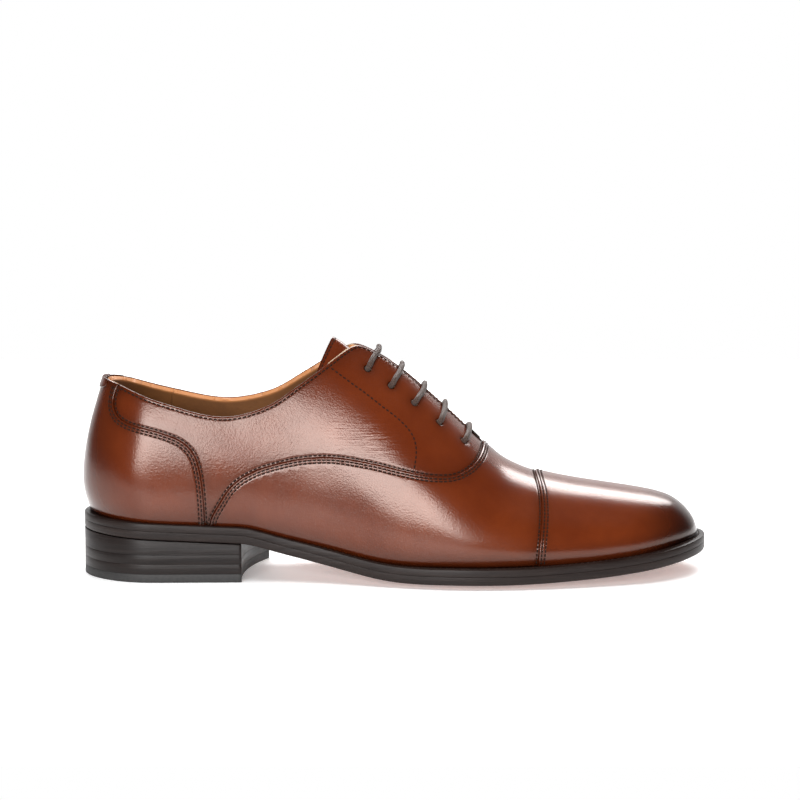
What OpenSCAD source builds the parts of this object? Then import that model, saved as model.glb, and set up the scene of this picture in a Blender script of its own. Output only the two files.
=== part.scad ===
// Cap-toe oxford shoe, right foot, built up like the real one: leather upper panels over
// stiffeners and linings, a stitched tongue, a welted leather sole and a stacked heel.
// X runs from the heel (-) to the toe (+), Y from the outer (-) to the inner side (+), Z is up.

/* [Sole] */
// Length of the outsole from the back of the heel to the toe
sole_length = 300; // [280:1:320]
// Width of the outsole across the ball of the foot
ball_width = 100; // [95:1:107]
// Height of the heel under the outsole, at the back
heel_height = 22; // [18:1:26]
// How far the tip of the sole stands off the floor
toe_spring = 9.8; // [7:0.2:13]
// Thickness of the leather outsole
outsole_t = 4.5; // [3.5:0.1:5]
// Thickness of the welt and the heel rand
welt_t = 3.7; // [3:0.1:4]
// Thickness of the rubber top piece that the heel stands on
top_piece_t = 4.2; // [3:0.1:6]
// Thickness of each flat heel lift; the uppermost lift is a wedge
lift_t = 4.6; // [3.6:0.1:5.2]

/* [Upper] */
// Thickness of each layer of the upper: outer leather, stiffener, lining
layer_t = [1.4, 1.0, 1.0]; // [0.8:0.1:1.6]
// Half of the gap between the two facings, at its top
throat_gap = 4.5; // [3:0.5:6]

/* [Lacing] */
// Diameter of the round waxed lace
lace_d = 2.5; // [2:0.1:2.6]
// Diameter of the eyelets
eyelet_d = 3.6; // [3.4:0.1:4.2]

/* [Hidden] */

leather = "#8f4325";
leather_dark = "#6e2f1a";
lining_tan = "#b98c4a";
edge_black = "#2e2725";
lace_brown = "#4f3c36";
natural = "#c9a67a";

length_scale = sole_length / 300;
width_scale = ball_width / 100;
spring_scale = toe_spring / 9.8;
mid_x = 150;
tip_x = 294.8;
heel_close = 34;
toe_close = 36;
crest_close = 9;
breast_x = 77;
upper_rows = 42;
upper_columns = 24;
slit = 0.15;
board_t = 2.2;
sock_t = 1.2;
shank_size = [98, 12, 1.6];
nail_d = 2.2;
nail_top = 11.8;
nail_sink = 0.8;

// Half-widths of the upper on either side of its axis, before the round ends close them
lateral_half = [[0, 30], [30, 31.5], [60, 31], [90, 30.5], [118, 33], [150, 41], [183, 46],
    [215, 45], [245, 40], [268, 34], [297, 28]];
medial_half = [[0, 30], [30, 31.5], [60, 30], [85, 27], [112, 26], [140, 31], [172, 40],
    [203, 45], [230, 43], [255, 38], [275, 33], [297, 28]];
// How far the welt and the sole stand out past the widest line of the upper
sole_margin = [[0, 0], [60, 0], [100, 0.5], [140, 2.5], [180, 4.5], [300, 4.5]];
axis_line = [[0, -1], [110, -0.5], [200, 0.5], [300, 4]];
// Height of the outsole's underside along its middle, from the waist to the toe
waist_line = [[80, 18], [92, 14.4], [109, 10], [122, 6.6], [132, 4], [145, 1.2], [158, 0.1],
    [170, 0], [200, 0], [221, 0.7], [251, 2.7], [265, 4.3], [280, 6.3], [300, 9.8]];
tread_crown = [[0, 0], [100, 0.3], [160, 1.8], [220, 1.8], [285, 0.6], [300, 0]];
// Ridge of the last: the instep, the vamp and the toe, and the closed cone above the opening
crest_line = [[0, 119], [70, 125], [92, 126.5], [105, 125], [118, 121], [131, 114], [143, 107.3], [154, 99],
    [164, 89.8], [174, 80.5], [183, 71.8], [192, 63], [200, 55.3], [209, 50.3], [217, 47.2], [236, 42.6],
    [251, 39.9], [265, 37.6], [277, 35.2], [286, 32.4], [297, 30.5]];
section_power = [[0, 1.3], [120, 1.3], [180, 1.2], [210, 1], [250, 0.92], [297, 0.85]];
back_profile = [[20, 5], [30, 3.8], [34, 2.5], [41, 0.6], [50, 0.3], [61, 1.6], [73, 4.2], [85, 7.7],
    [94, 10.6], [130, 24]];

// Seams and edges in the side view
topline = [[-5, 95], [10, 94.5], [18, 93], [32, 88], [45, 84], [57, 80.6], [68, 79], [79, 80.4],
    [92, 85.2], [105, 94], [118, 103], [126, 108.6], [131, 110.5]];
vamp_seam = [[61.5, 10], [62.5, 30], [67, 38.5], [71.3, 45], [77, 50], [85, 54], [93, 56.5], [104, 59], [114, 60],
    [124, 59.8], [140, 57.5], [156, 54], [168, 52], [178, 52], [185, 54.5], [190, 58.5], [193, 64], [193.5, 130]];
cover_seam = [[-5, 96], [17, 94.8], [14.6, 90], [14.2, 86.5], [15, 82], [17.7, 78.2], [22.5, 75.8], [28, 74.2],
    [35, 72.6], [41, 70.8], [47, 68.5], [51.5, 65.5], [55, 61], [56.8, 56], [58.2, 49], [59, 40], [59.4, 30],
    [59.4, 10]];
cap_seam_x = 218;
eyelets = [[183, 16.5], [171.2, 17], [159.2, 16.5], [148.2, 15.5], [137, 13.3]];

// Tongue: half-width, and how deep it lies under the skin of the last
tongue_half = [[111, 10], [120, 13], [131, 16], [150, 19.5], [170, 19], [185, 17], [200, 11]];
tongue_depth = [[111, -10], [131, -9.2], [186, -9.2], [193, -7], [200, -4.8]];
tongue_t = [1.4, 1.0];

// Lace: distance of its centre line from the skin, over the facings and under them
lace_over = 1.6;
lace_under = -4.9;
inner_run = 8.4;
outer_run = 12.8;
aglet_length = 15;
aglet_d = 2.9;

function lerp(a, b, f) = a + (b - a) * f;

// Smooth curve through a list of [x, value] points
function segment_at(points, x, i = 0) =
    i >= len(points) - 2 || x < points[i + 1][0] ? i : segment_at(points, x, i + 1);
function slope_at(points, i) =
    let(a = points[max(0, i - 1)], b = points[min(len(points) - 1, i + 1)])
    (b[1] - a[1]) / (b[0] - a[0]);
function curve(points, x) =
    let(i = segment_at(points, x))
    let(a = points[i], b = points[i + 1], w = b[0] - a[0])
    let(f = max(0, min(1, (x - a[0]) / w)))
    let(ma = slope_at(points, i) * w, mb = slope_at(points, i + 1) * w)
    a[1] * (1 + 2 * f) * (1 - f) * (1 - f) + ma * f * (1 - f) * (1 - f)
    + b[1] * f * f * (3 - 2 * f) + mb * f * f * (f - 1);

// Quarter-ellipse rise from 0 at the end of the last to 1 at the given distance from it
function round_end(d, reach) = d >= reach ? 1 : sqrt(max(0, 1 - pow(1 - max(0, d) / reach, 2)));

function sole_bottom(x) =
    x < 80 ? heel_height - (heel_height - 18) * x / 80 : curve(waist_line, x) * (x > 200 ? spring_scale : 1);
function feather_z(x) = sole_bottom(x) + outsole_t + welt_t + curve(tread_crown, x);
function side_half(x, side) = width_scale * (side < 0 ? curve(lateral_half, x) : curve(medial_half, x));

// Half-width and ridge height of the last at x, moved outward by o
function upper_half(x, side, o) =
    max(slit, (side_half(x, side) + o) * round_end(x, heel_close) * round_end(tip_x - x, toe_close));
function ridge_z(x, o) =
    feather_z(x) + max(1.5, (curve(crest_line, x) - feather_z(x)) * round_end(tip_x - x + 0.1, crest_close) + o);

// Point of the upper: x along the last, a from -1 (outer sole edge) over 0 (ridge) to 1
function skin(x, a, o) =
    let(side = a < 0 ? -1 : 1, angle = 90 * (1 - abs(a)))
    let(half = upper_half(x, side, o), tuck = 2.5 * pow(1 - sin(angle), 8) * min(1, half / 8))
    let(z = feather_z(x) + (ridge_z(x, o) - feather_z(x)) * sin(angle))
    let(lean = curve(back_profile, z) * pow(max(0, 1 - x / 110), 2))
    [mid_x + (x - mid_x) * (1 + o / mid_x) + lean,
     curve(axis_line, x) + side * max(0.1, half * pow(cos(angle), curve(section_power, x)) - tuck), z];

// Point of the upper named by its distance y from the ridge
function skin_y(x, y, o) =
    let(side = y < 0 ? -1 : 1, half = upper_half(x, side, o))
    skin(x, side * (1 - acos(min(1, pow(abs(y) / half, 1 / curve(section_power, x)))) / 90), o);

function row_x(i, n, x0, x1) = lerp(x0, x1, (1 - cos(180 * i / n)) / 2);

// Unit normal of the skin over the place x, y of the instep
function skin_normal(x, y) =
    let(s = 0.5, along = skin_y(x + s, y, 0) - skin_y(x - s, y, 0), across = skin_y(x, y + s, 0) - skin_y(x, y - s, 0))
    let(n = cross(along, across)) n / norm(n);

// Closed solid between two grids of points with the same rows and columns. With zipped ends the
// first and the last row close on themselves, as at the back seam and the toe of a shoe.
module between(outer, inner, zipped = false) {
    n = len(outer);
    m = len(outer[0]);
    size = n * m;
    points = concat([for (row = outer) each row], [for (row = inner) each row]);
    function id(i, j) = i * m + j;
    function flipped(f) = [for (k = [len(f) - 1:-1:0]) size + f[k]];
    cells = [for (i = [0:n - 2]) for (j = [0:m - 2]) each
        [[id(i, j), id(i, j + 1), id(i + 1, j + 1)], [id(i, j), id(i + 1, j + 1), id(i + 1, j)]]];
    last = m - 1;
    function zip_face(i, j) = j == last / 2 - 1 ?
        [id(i, j), id(i, j + 1), id(i, last - j)] :
        [id(i, j), id(i, j + 1), id(i, last - j - 1), id(i, last - j)];
    function reversed(f) = [for (k = [len(f) - 1:-1:0]) f[k]];
    zips = zipped ? [for (j = [0:last / 2 - 1]) each [reversed(zip_face(0, j)), zip_face(n - 1, j)]] : [];
    surface = concat(cells, zips);
    long_side = [for (i = [0:n - 1]) id(i, 0)];
    far_side = [for (i = [n - 1:-1:0]) id(i, last)];
    rim = zipped ? concat(long_side, far_side) :
        concat(long_side, [for (j = [1:last - 1]) id(n - 1, j)], far_side, [for (j = [last - 1:-1:1]) id(0, j)]);
    walls = [for (k = [0:len(rim) - 1]) let(a = rim[k], b = rim[(k + 1) % len(rim)]) each
        [[a, b, b + size], [a, b + size, a + size]]];
    polyhedron(points, concat(surface, [for (f = surface) flipped(f)], walls), convexity = 10);
}

// Moves a piece from the last's own x, measured from the heel, to the shoe's frame
module placed() {
    scale(length_scale) translate([-mid_x, 0, 0]) children();
}

// Whole skin of the last between two offsets
module layer(o_out, o_in) {
    function grid(o) = [for (i = [0:upper_rows]) [for (j = [0:upper_columns])
        skin(row_x(i, upper_rows, 0, tip_x), lerp(-1, 1, j / upper_columns), o)]];
    between(grid(o_out), grid(o_in), zipped = true);
}

// Prism through the shoe over a side-view outline, on the outer side, the inner side or both
module side_prism(outline, side) {
    y0 = side > 0 ? 0 : -80;
    y1 = side < 0 ? 0 : 80;
    translate([0, y1, 0]) rotate([90, 0, 0]) linear_extrude(height = y1 - y0) polygon(outline);
}

// Keeps one facing on its own side of the throat's gap
module throat_cut(side) {
    edge = [[120, throat_gap + 1.5], [132, throat_gap], [192, 1.5], [199, 0.5], [199, -40], [120, -40]];
    translate([0, 0, 40]) linear_extrude(height = 100) polygon([for (p = edge) [p[0], side * p[1]]]);
}

module eyelet_holes(side) {
    for (e = eyelets) {
        axis = skin_normal(e[0], side * e[1]);
        translate(skin_y(e[0], side * e[1], 0)) rotate([0, acos(axis[2]), atan2(axis[1], axis[0])])
            cylinder(d = eyelet_d, h = 12, center = true, $fn = 12);
    }
}

// Piece of the upper: the part of one layer inside a side-view outline. The layers from the
// outside in are the leather (0), the stiffeners (1) and the lining (2).
function depth_of(k) = k <= 0 ? 0 : layer_t[k - 1] + depth_of(k - 1);
module upper_piece(outline, k, side = 0, laced = false) {
    placed() resize([0, 0, 0]) difference() {
        intersection() {
            layer(-depth_of(k), -depth_of(k + 1));
            side_prism(outline, side);
        }
        if (laced) {
            throat_cut(side);
            eyelet_holes(side);
        }
    }
}

// Outlines in the side view, each drawn past the edges where the skin itself ends
function reversed_list(points) = [for (k = [len(points) - 1:-1:0]) points[k]];
front_x = 310;
cap_outline = [[cap_seam_x, -10], [front_x, -10], [front_x, 150], [cap_seam_x, 150]];
vamp_outline = concat(vamp_seam, [[cap_seam_x, 150], [cap_seam_x, -10], [61.5, -10]]);
cover_outline = concat(cover_seam, [[59.4, -10], [-20, -10], [-20, 95]]);
quarter_outline = concat([[59.4, -10], [61.5, -10]], vamp_seam, [[133, 150]],
    reversed_list([for (p = topline) if (p[0] > cover_seam[1][0]) p]),
    [for (i = [1:len(cover_seam) - 1]) cover_seam[i]]);
puff_outline = [[238, -10], [front_x, -10], [front_x, 150], [234, 150]];
counter_outline = [[-20, 74], [20, 70], [50, 58], [72, 36], [78, -10], [-20, -10]];
stay_outline = [[118, 103], [130, 93], [144, 82], [158, 70], [172, 61], [188, 55], [199, 60], [199, 150],
    [133, 150], [131, 110.5], [126, 108.6]];
lining_seam = [[128, -10], [128, 20], [140, 42], [156, 46], [180, 48], [192, 52], [199, 60], [199, 150]];
grip_x = 39;
vamp_lining_outline = concat(lining_seam, [[front_x, 150], [front_x, -10]]);
quarter_lining_outline = concat([[grip_x, -10]], lining_seam, [[133, 150]],
    reversed_list([for (p = topline) if (p[0] > grip_x) p]), [[grip_x, 86]]);
grip_outline = concat([[-20, -10], [grip_x, -10], [grip_x, 86]],
    reversed_list([for (p = topline) if (p[0] < grip_x) p]), [[-20, 95]]);
tab_outline = [[-20, 84], [12, 84], [15, 88], [15, 93.4], [10, 94.4], [-20, 95]];

module toe_cap() {
    color(leather) upper_piece(cap_outline, 0);
}

module vamp() {
    color(leather) upper_piece(vamp_outline, 0);
}

module quarter_lateral() {
    color(leather) upper_piece(quarter_outline, 0, -1, laced = true);
}

module quarter_medial() {
    color(leather) upper_piece(quarter_outline, 0, 1, laced = true);
}

module heel_counter_cover() {
    color(leather_dark) upper_piece(cover_outline, 0);
}

// Short strip folded over the back of the collar, outside the counter cover
module back_tab() {
    tab_t = 1;
    color(leather) placed() resize([0, 0, 0]) intersection() {
        layer(tab_t, 0);
        side_prism(tab_outline, 0);
    }
}

module toe_puff() {
    color(natural) upper_piece(puff_outline, 1);
}

module heel_counter_stiffener() {
    color(natural) upper_piece(counter_outline, 1);
}

module facing_stay_lateral() {
    color(natural) upper_piece(stay_outline, 1, -1, laced = true);
}

module facing_stay_medial() {
    color(natural) upper_piece(stay_outline, 1, 1, laced = true);
}

module vamp_lining() {
    color(lining_tan) upper_piece(vamp_lining_outline, 2);
}

module quarter_lining_lateral() {
    color(lining_tan) upper_piece(quarter_lining_outline, 2, -1, laced = true);
}

module quarter_lining_medial() {
    color(lining_tan) upper_piece(quarter_lining_outline, 2, 1, laced = true);
}

module heel_grip_lining() {
    color(lining_tan) upper_piece(grip_outline, 2);
}

// One leather of the tongue, from its arched free end down to the throat
module tongue_sheet(drop, thickness) {
    rows = 12;
    columns = 12;
    arch = 7;
    function sheet_point(i, j, d) =
        let(f = 2 * j / columns - 1, x = lerp(119 - arch * f * f, 200, i / rows))
        skin_y(x, f * curve(tongue_half, x), curve(tongue_depth, x) - d);
    function grid(d) = [for (i = [0:rows]) [for (j = [0:columns]) sheet_point(i, j, d)]];
    placed() between(grid(drop), grid(drop + thickness));
}

module tongue() {
    color(leather) tongue_sheet(0, tongue_t[0]);
}

module tongue_lining() {
    color(lining_tan) tongue_sheet(tongue_t[0], tongue_t[1]);
}

// Close stitching across the foot of the throat
module throat_bartack() {
    size = [2.4, 5, 1];
    color(edge_black) placed() translate(skin_y(196.5, 0, 0) + [0, 0, 0.85]) rotate([0, 44, 0])
        translate([-size[0] / 2, -size[1] / 2, 0]) cube(size);
}

// Point at a distance d outside the skin, over the place x, y of the instep
function lace_point(p) = skin_y(p[0], p[1], 0) + p[2] * skin_normal(p[0], p[1]);

// Stations of one bar of the lace: up through one eyelet, over the throat, down the other
function bar(k, side) =
    let(x = eyelets[k][0], y = eyelets[k][1])
    [for (p = [[-y, lace_under], [-y, -1.6], [-y + 0.5, 1], [-y + 2.6, lace_over],
        [-y + 6.5, lace_over], [-4, lace_over + 0.2], [4, lace_over + 0.2], [y - 6.5, lace_over],
        [y - 2.6, lace_over], [y - 0.5, 1], [y, -1.6], [y, lace_under]])
        [x, -side * p[0], p[1]]];

// From the tail on the outer side through all ten eyelets to the tail on the inner side
lace_route = concat(
    [[177, -7, lace_under - 0.4], [170, -7.4, lace_under], [163, -7.8, lace_under], [156, -8.4, lace_under],
     [151, -10, lace_under]],
    bar(3, -1),
    [[149.5, 11, lace_under], [155, inner_run, lace_under], [163, inner_run, lace_under], [168.5, 11, lace_under]],
    bar(1, 1),
    [[176.5, -14.5, lace_under]],
    bar(0, -1),
    [[179.5, 13.4, lace_under], [171, outer_run, lace_under], [163, 13.4, lace_under]],
    bar(2, 1),
    [[156.5, -18.6, lace_under], [148.2, -19.4, lace_under], [140.5, -17, lace_under]],
    bar(4, -1),
    [[139.5, 16.8, lace_under], [145, 19.4, lace_under], [155, 20.6, lace_under], [164, 20.8, lace_under - 0.2],
     [172, 20.6, lace_under - 1]]);

// Round cord swept along the points of a route
module cord(points, diameter) {
    sides = 8;
    n = len(points);
    function direction(i) =
        let(v = points[min(n - 1, i + 1)] - points[max(0, i - 1)]) v / norm(v);
    function ring(i) =
        let(t = direction(i), u0 = cross(t, [0.2, 0.1, 1]), u = u0 / norm(u0), v = cross(t, u))
        [for (k = [0:sides - 1]) points[i] + diameter / 2 * (u * cos(360 * k / sides) + v * sin(360 * k / sides))];
    sides_faces = [for (i = [0:n - 2]) for (k = [0:sides - 1])
        let(a = i * sides + k, b = i * sides + (k + 1) % sides) each
        [[a, b, b + sides], [a, b + sides, a + sides]]];
    start_face = [for (k = [sides - 1:-1:0]) k];
    end_face = [for (k = [0:sides - 1]) (n - 1) * sides + k];
    polyhedron([for (i = [0:n - 1]) each ring(i)], concat(sides_faces, [start_face, end_face]));
}

module lace() {
    color(lace_brown) placed() cord([for (p = lace_route) lace_point(p)], lace_d);
}

// Hard tip on an end of the lace, carrying on from its last stretch
module aglet(tip, before) {
    start = lace_point(tip);
    way = start - lace_point(before);
    axis = way / norm(way);
    color(edge_black) placed() translate(start + 0.1 * axis) rotate([0, acos(axis[2]), atan2(axis[1], axis[0])])
        cylinder(d = aglet_d, h = aglet_length, $fn = 24);
}

module lace_aglet_lateral() {
    aglet(lace_route[0], lace_route[1]);
}

module lace_aglet_medial() {
    aglet(lace_route[len(lace_route) - 1], lace_route[len(lace_route) - 2]);
}

// Point of the sole's outline, moved inward by an inset
function sole_half(x, side) = side_half(x, side) + curve(sole_margin, x);
function sole_point(x, f, inset) =
    let(side = f < 0 ? -1 : 1)
    let(half = max(slit, (sole_half(x, side) - inset) * round_end(x, heel_close) * round_end(300 - x, toe_close)))
    [mid_x + (x - mid_x) * (1 - inset / mid_x), curve(axis_line, x) + f * half];
function crowned(x, f) = curve(tread_crown, x) * f * f;

// Sheet of the sole between two heights over its underside
sole_rows = 40;
module sole_sheet(x0, x1, inset, low, high) {
    columns = 8;
    function at(i, j, h) =
        let(x = row_x(i, sole_rows, x0, x1), f = 2 * j / columns - 1, p = sole_point(x, f, inset))
        [p[0], p[1], sole_bottom(p[0]) + crowned(p[0], f) + h];
    function grid(h) = [for (i = [0:sole_rows]) [for (j = [0:columns]) at(i, j, h)]];
    placed() between(grid(high), grid(low));
}

// Strip along the sole's edge, from the outer side round one end to the inner side
module edge_strip(x_side, x_end, width, low, high) {
    steps = 72;
    function at(i, inset, h) =
        let(p = 2 * i / steps - 1, side = p < 0 ? -1 : 1)
        let(x = lerp(x_end, x_side, 1 - cos(90 * abs(p))), q = sole_point(x, side, inset))
        [q[0], q[1], sole_bottom(q[0]) + crowned(q[0], 1) + h];
    function grid(h) = [for (i = [0:steps]) [at(i, 0, h), at(i, width, h)]];
    if (x_end > x_side) placed() between(grid(high), grid(low));
    else placed() between(grid(low), grid(high));
}

// Sheet that fills the bottom of the last inside the lining
module inner_sheet(low, high) {
    rows = 30;
    columns = 6;
    inset = depth_of(3) + 0.5;
    function at(i, j, h) =
        let(x = row_x(i, rows, 1, tip_x - 1), a = skin(x, -1, -inset), b = skin(x, 1, -inset))
        let(p = lerp(a, b, j / columns)) [p[0], p[1], feather_z(p[0]) + h];
    function grid(h) = [for (i = [0:rows]) [for (j = [0:columns]) at(i, j, h)]];
    placed() between(grid(high), grid(low));
}

module outsole() {
    color(edge_black) sole_sheet(0, 300, 0, 0, outsole_t);
}

strip_w = 10;
seam_gap = 0.12;
module welt() {
    color(edge_black) edge_strip(60, 300, strip_w, outsole_t + seam_gap, outsole_t + welt_t - seam_gap);
}

module heel_rand() {
    color(edge_black) edge_strip(60, 0, strip_w, outsole_t + seam_gap, outsole_t + welt_t - seam_gap);
}

shank_x = 54;
module shank_bar(spare = 0, top = shank_size[2]) {
    rows = 8;
    function at(i, j, h) =
        let(x = lerp(shank_x - spare, shank_x + shank_size[0] + spare, i / rows))
        [x, curve(axis_line, x) + (j - 0.5) * (shank_size[1] + 2 * spare),
         sole_bottom(x) + outsole_t + 1 + h];
    function grid(h) = [for (i = [0:rows]) [for (j = [0:1]) at(i, j, h)]];
    placed() between(grid(top), grid(-spare));
}

module shank() {
    color("silver") shank_bar();
}

// Filling inside the welt, with an open channel that the shank lies in
module cork_filler() {
    color(natural) resize([0, 0, 0]) difference() {
        sole_sheet(0, 300, strip_w + 0.4, outsole_t + 4 * seam_gap, outsole_t + welt_t - 2 * seam_gap);
        shank_bar(0.1, welt_t + 1);
    }
}

module insole_board() {
    color(natural) inner_sheet(0, board_t);
}

module sock_liner() {
    color(lining_tan) inner_sheet(board_t, board_t + sock_t);
}

// Outline of the heel seen from above, with its hollowed breast
module heel_outline() {
    steps = 20;
    function breast(f) = breast_x + 5.5 * (f + 1) - 4 * (1 - f * f);
    function side_points(side) = [for (i = [0:steps])
        let(x = breast(side) * (1 - cos(90 * i / steps))) [x, sole_point(x, side, 0)[1]]];
    front = [for (f = [0.75:-0.25:-0.75]) [breast(f), lerp(curve(axis_line, breast(f)),
        sole_point(breast(sign(f)), f < 0 ? -1 : 1, 0)[1], abs(f))]];
    polygon(concat(side_points(1), front, reversed_list(side_points(-1))));
}

nail_places = [[9, 0], [14, 15], [14, -15], [27, 23], [27, -23], [43, 24], [43, -24], [59, 23], [59, -23],
    [71, 12], [68, -10]];
module nail_holes() {
    for (p = nail_places) translate([p[0], p[1] - 1, -1]) cylinder(d = nail_d, h = nail_top + 1, $fn = 24);
}

module heel_layer(low, high) {
    placed() difference() {
        translate([0, 0, low]) linear_extrude(height = high - low) heel_outline();
        if (low < nail_top) nail_holes();
    }
}

module heel_top_piece() {
    color("#1d1b1b") heel_layer(0, top_piece_t);
}

module heel_lift_1() {
    color(edge_black) heel_layer(top_piece_t, top_piece_t + lift_t);
}

module heel_lift_2() {
    color(edge_black) heel_layer(top_piece_t + lift_t, top_piece_t + 2 * lift_t);
}

// The uppermost lift is a wedge that follows the slope of the outsole
module heel_lift_3() {
    low = top_piece_t + 2 * lift_t;
    seat = concat([[100, low], [0, low]], [for (i = [0:sole_rows])
        let(x = row_x(i, sole_rows, 0, sole_length)) if (x < 100) [x, sole_bottom(x) - 0.05]]);
    color(edge_black) placed() intersection() {
        linear_extrude(height = 40) heel_outline();
        side_prism(seat, 0);
    }
}

module heel_nails() {
    color("#8a7a55") placed() for (p = nail_places)
        translate([p[0], p[1] - 1, nail_sink]) cylinder(d = nail_d, h = nail_top - nail_sink, $fn = 24);
}

toe_cap();
vamp();
quarter_lateral();
quarter_medial();
heel_counter_cover();
back_tab();
toe_puff();
heel_counter_stiffener();
facing_stay_lateral();
facing_stay_medial();
vamp_lining();
quarter_lining_lateral();
quarter_lining_medial();
heel_grip_lining();
tongue();
tongue_lining();
throat_bartack();
lace();
lace_aglet_lateral();
lace_aglet_medial();
sock_liner();
insole_board();
shank();
cork_filler();
welt();
heel_rand();
outsole();
heel_lift_1();
heel_lift_2();
heel_lift_3();
heel_top_piece();
heel_nails();
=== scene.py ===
"""Cap-toe oxford shoe, right foot: the looks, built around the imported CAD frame.

Shapes are worked out in millimetres along the last, x from the back of the heel, and
turned into metres in the shoe's frame when a mesh is made.
"""
import math

import bmesh
import bpy
import numpy as np
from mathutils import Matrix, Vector
from mathutils.kdtree import KDTree


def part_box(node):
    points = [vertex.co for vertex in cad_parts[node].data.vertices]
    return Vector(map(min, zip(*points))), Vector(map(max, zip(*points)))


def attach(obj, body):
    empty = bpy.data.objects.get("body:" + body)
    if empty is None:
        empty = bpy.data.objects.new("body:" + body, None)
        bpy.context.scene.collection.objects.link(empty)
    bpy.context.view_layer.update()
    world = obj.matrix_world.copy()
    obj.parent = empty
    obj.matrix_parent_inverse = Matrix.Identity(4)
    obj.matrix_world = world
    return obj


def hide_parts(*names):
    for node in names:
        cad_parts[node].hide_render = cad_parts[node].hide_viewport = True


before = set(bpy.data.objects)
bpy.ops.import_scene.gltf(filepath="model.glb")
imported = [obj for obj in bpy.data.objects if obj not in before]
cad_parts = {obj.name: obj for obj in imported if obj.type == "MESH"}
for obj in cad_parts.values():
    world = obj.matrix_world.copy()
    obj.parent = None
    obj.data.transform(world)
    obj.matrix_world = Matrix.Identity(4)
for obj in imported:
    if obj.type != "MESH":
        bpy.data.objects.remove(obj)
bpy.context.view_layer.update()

# ---------------------------------------------------------------- driving dimensions (mm)
HEEL_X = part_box("outsole")[0][0] * 1000
SOLE_LENGTH = 300.0
MID_X = 150.0
TIP_X = 294.8
HEEL_CLOSE, TOE_CLOSE, CREST_CLOSE = 34.0, 36.0, 14.0
OUTSOLE_T, WELT_T, TOP_PIECE_T, LIFT_T = 4.5, 3.7, 4.2, 4.6
HEEL_HEIGHT = 22.0
SEAT_FRONT_X, SEAT_FRONT_Z = 80.0, 18.0
THROAT_GAP = 4.5
CAP_SEAM_X = 218.0
BODY = "shoe"
TONGUE = "tongue"

# Outlines of the last and the sole, as [x, value]. They are the CAD part's, but the crest is up to 0.8
# higher over the toe.
LATERAL_HALF = [[0, 30], [30, 31.5], [60, 31], [90, 30.5], [118, 33], [150, 41], [183, 46],
                [215, 45], [245, 40], [268, 34], [297, 28]]
MEDIAL_HALF = [[0, 30], [30, 31.5], [60, 30], [85, 27], [112, 26], [140, 31], [172, 40],
               [203, 45], [230, 43], [255, 38], [275, 33], [297, 28]]
SOLE_MARGIN = [[0, 0], [60, 0], [100, 0.5], [140, 2.5], [180, 4.5], [300, 4.5]]
AXIS_LINE = [[0, -1], [110, -0.5], [200, 0.5], [300, 4]]
WAIST_LINE = [[80, 18], [92, 14.4], [109, 10], [122, 6.6], [132, 4], [145, 1.2], [158, 0.1],
              [170, 0], [200, 0], [221, 0.7], [251, 2.7], [265, 4.3], [280, 6.3], [300, 9.8]]
TREAD_CROWN = [[0, 0], [100, 0.3], [160, 1.8], [220, 1.8], [285, 0.6], [300, 0]]
CREST_LINE = [[0, 119], [70, 125], [92, 126.5], [105, 125], [118, 121], [131, 114], [143, 107.3], [154, 99],
              [164, 89.8], [174, 80.5], [183, 71.8], [192, 63], [200, 55.3], [209, 50.3], [217, 47.2],
              [236, 43], [251, 40.5], [265, 38.4], [277, 36], [286, 33], [297, 31]]
SECTION_POWER = [[0, 1.3], [120, 1.3], [180, 1.2], [210, 1], [250, 0.92], [297, 0.85]]
BACK_PROFILE = [[20, 5], [30, 3.8], [34, 2.5], [41, 0.6], [50, 0.3], [61, 1.6], [73, 4.2], [85, 7.7],
                [94, 10.6], [130, 24]]

# Seams in the side view
TOPLINE = [[11, 94.8], [18, 93.2], [32, 88], [45, 84], [57, 80.6], [68, 79], [79, 80.4],
           [92, 85.2], [105, 94], [118, 103], [126, 108.6], [130, 110.6]]
MEDIAL_TOPLINE_RISE = 2.3
VAMP_SEAM = [[61.8, 22], [62.5, 30], [67, 38.5], [71.3, 45], [77, 50], [85, 54], [93, 56.5], [104, 59],
             [114, 60], [124, 59.8], [140, 57.5], [156, 54], [168, 52], [178, 52], [185, 54.5], [190, 58.5],
             [193, 64], [193.5, 72]]
COVER_SEAM = [[20, 96.5], [17.2, 90], [16.2, 86.5], [16.2, 82], [18.3, 78.2], [22.5, 75.8], [28, 74.2],
              [35, 72.6], [41, 70.8], [47, 68.5], [51.5, 65.5], [55, 61], [56.8, 56], [58.2, 49], [59, 40],
              [59.4, 30], [59.4, 22]]
FACING_ROW = [[119, 101.5], [128, 95], [136, 89.5], [144, 83.5], [152, 77.5], [158, 71], [160, 65],
              [159.5, 58], [158, 51]]
EYELETS = [(183, 16.5), (171.2, 17), (159.2, 16.5), (148.2, 15.5), (137, 13.3)]
EYELET_R = 1.7

TONGUE_HALF = [[104, 15], [112, 16], [120, 17], [131, 18], [150, 19.5], [170, 19], [185, 17], [200, 11]]
TONGUE_DEPTH = [[106, -6.4], [120, -6.4], [131, -8.6], [186, -9.2], [193, -7], [200, -4.8]]

LACE_R = 1.35
LACE_LEAN = (1.9, 2.0, 4.2, 4.4, 4.6)
LACE_OVER, LACE_UNDER = 1.45, -4.9
INNER_RUN, OUTER_RUN = 8.4, 12.8


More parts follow.
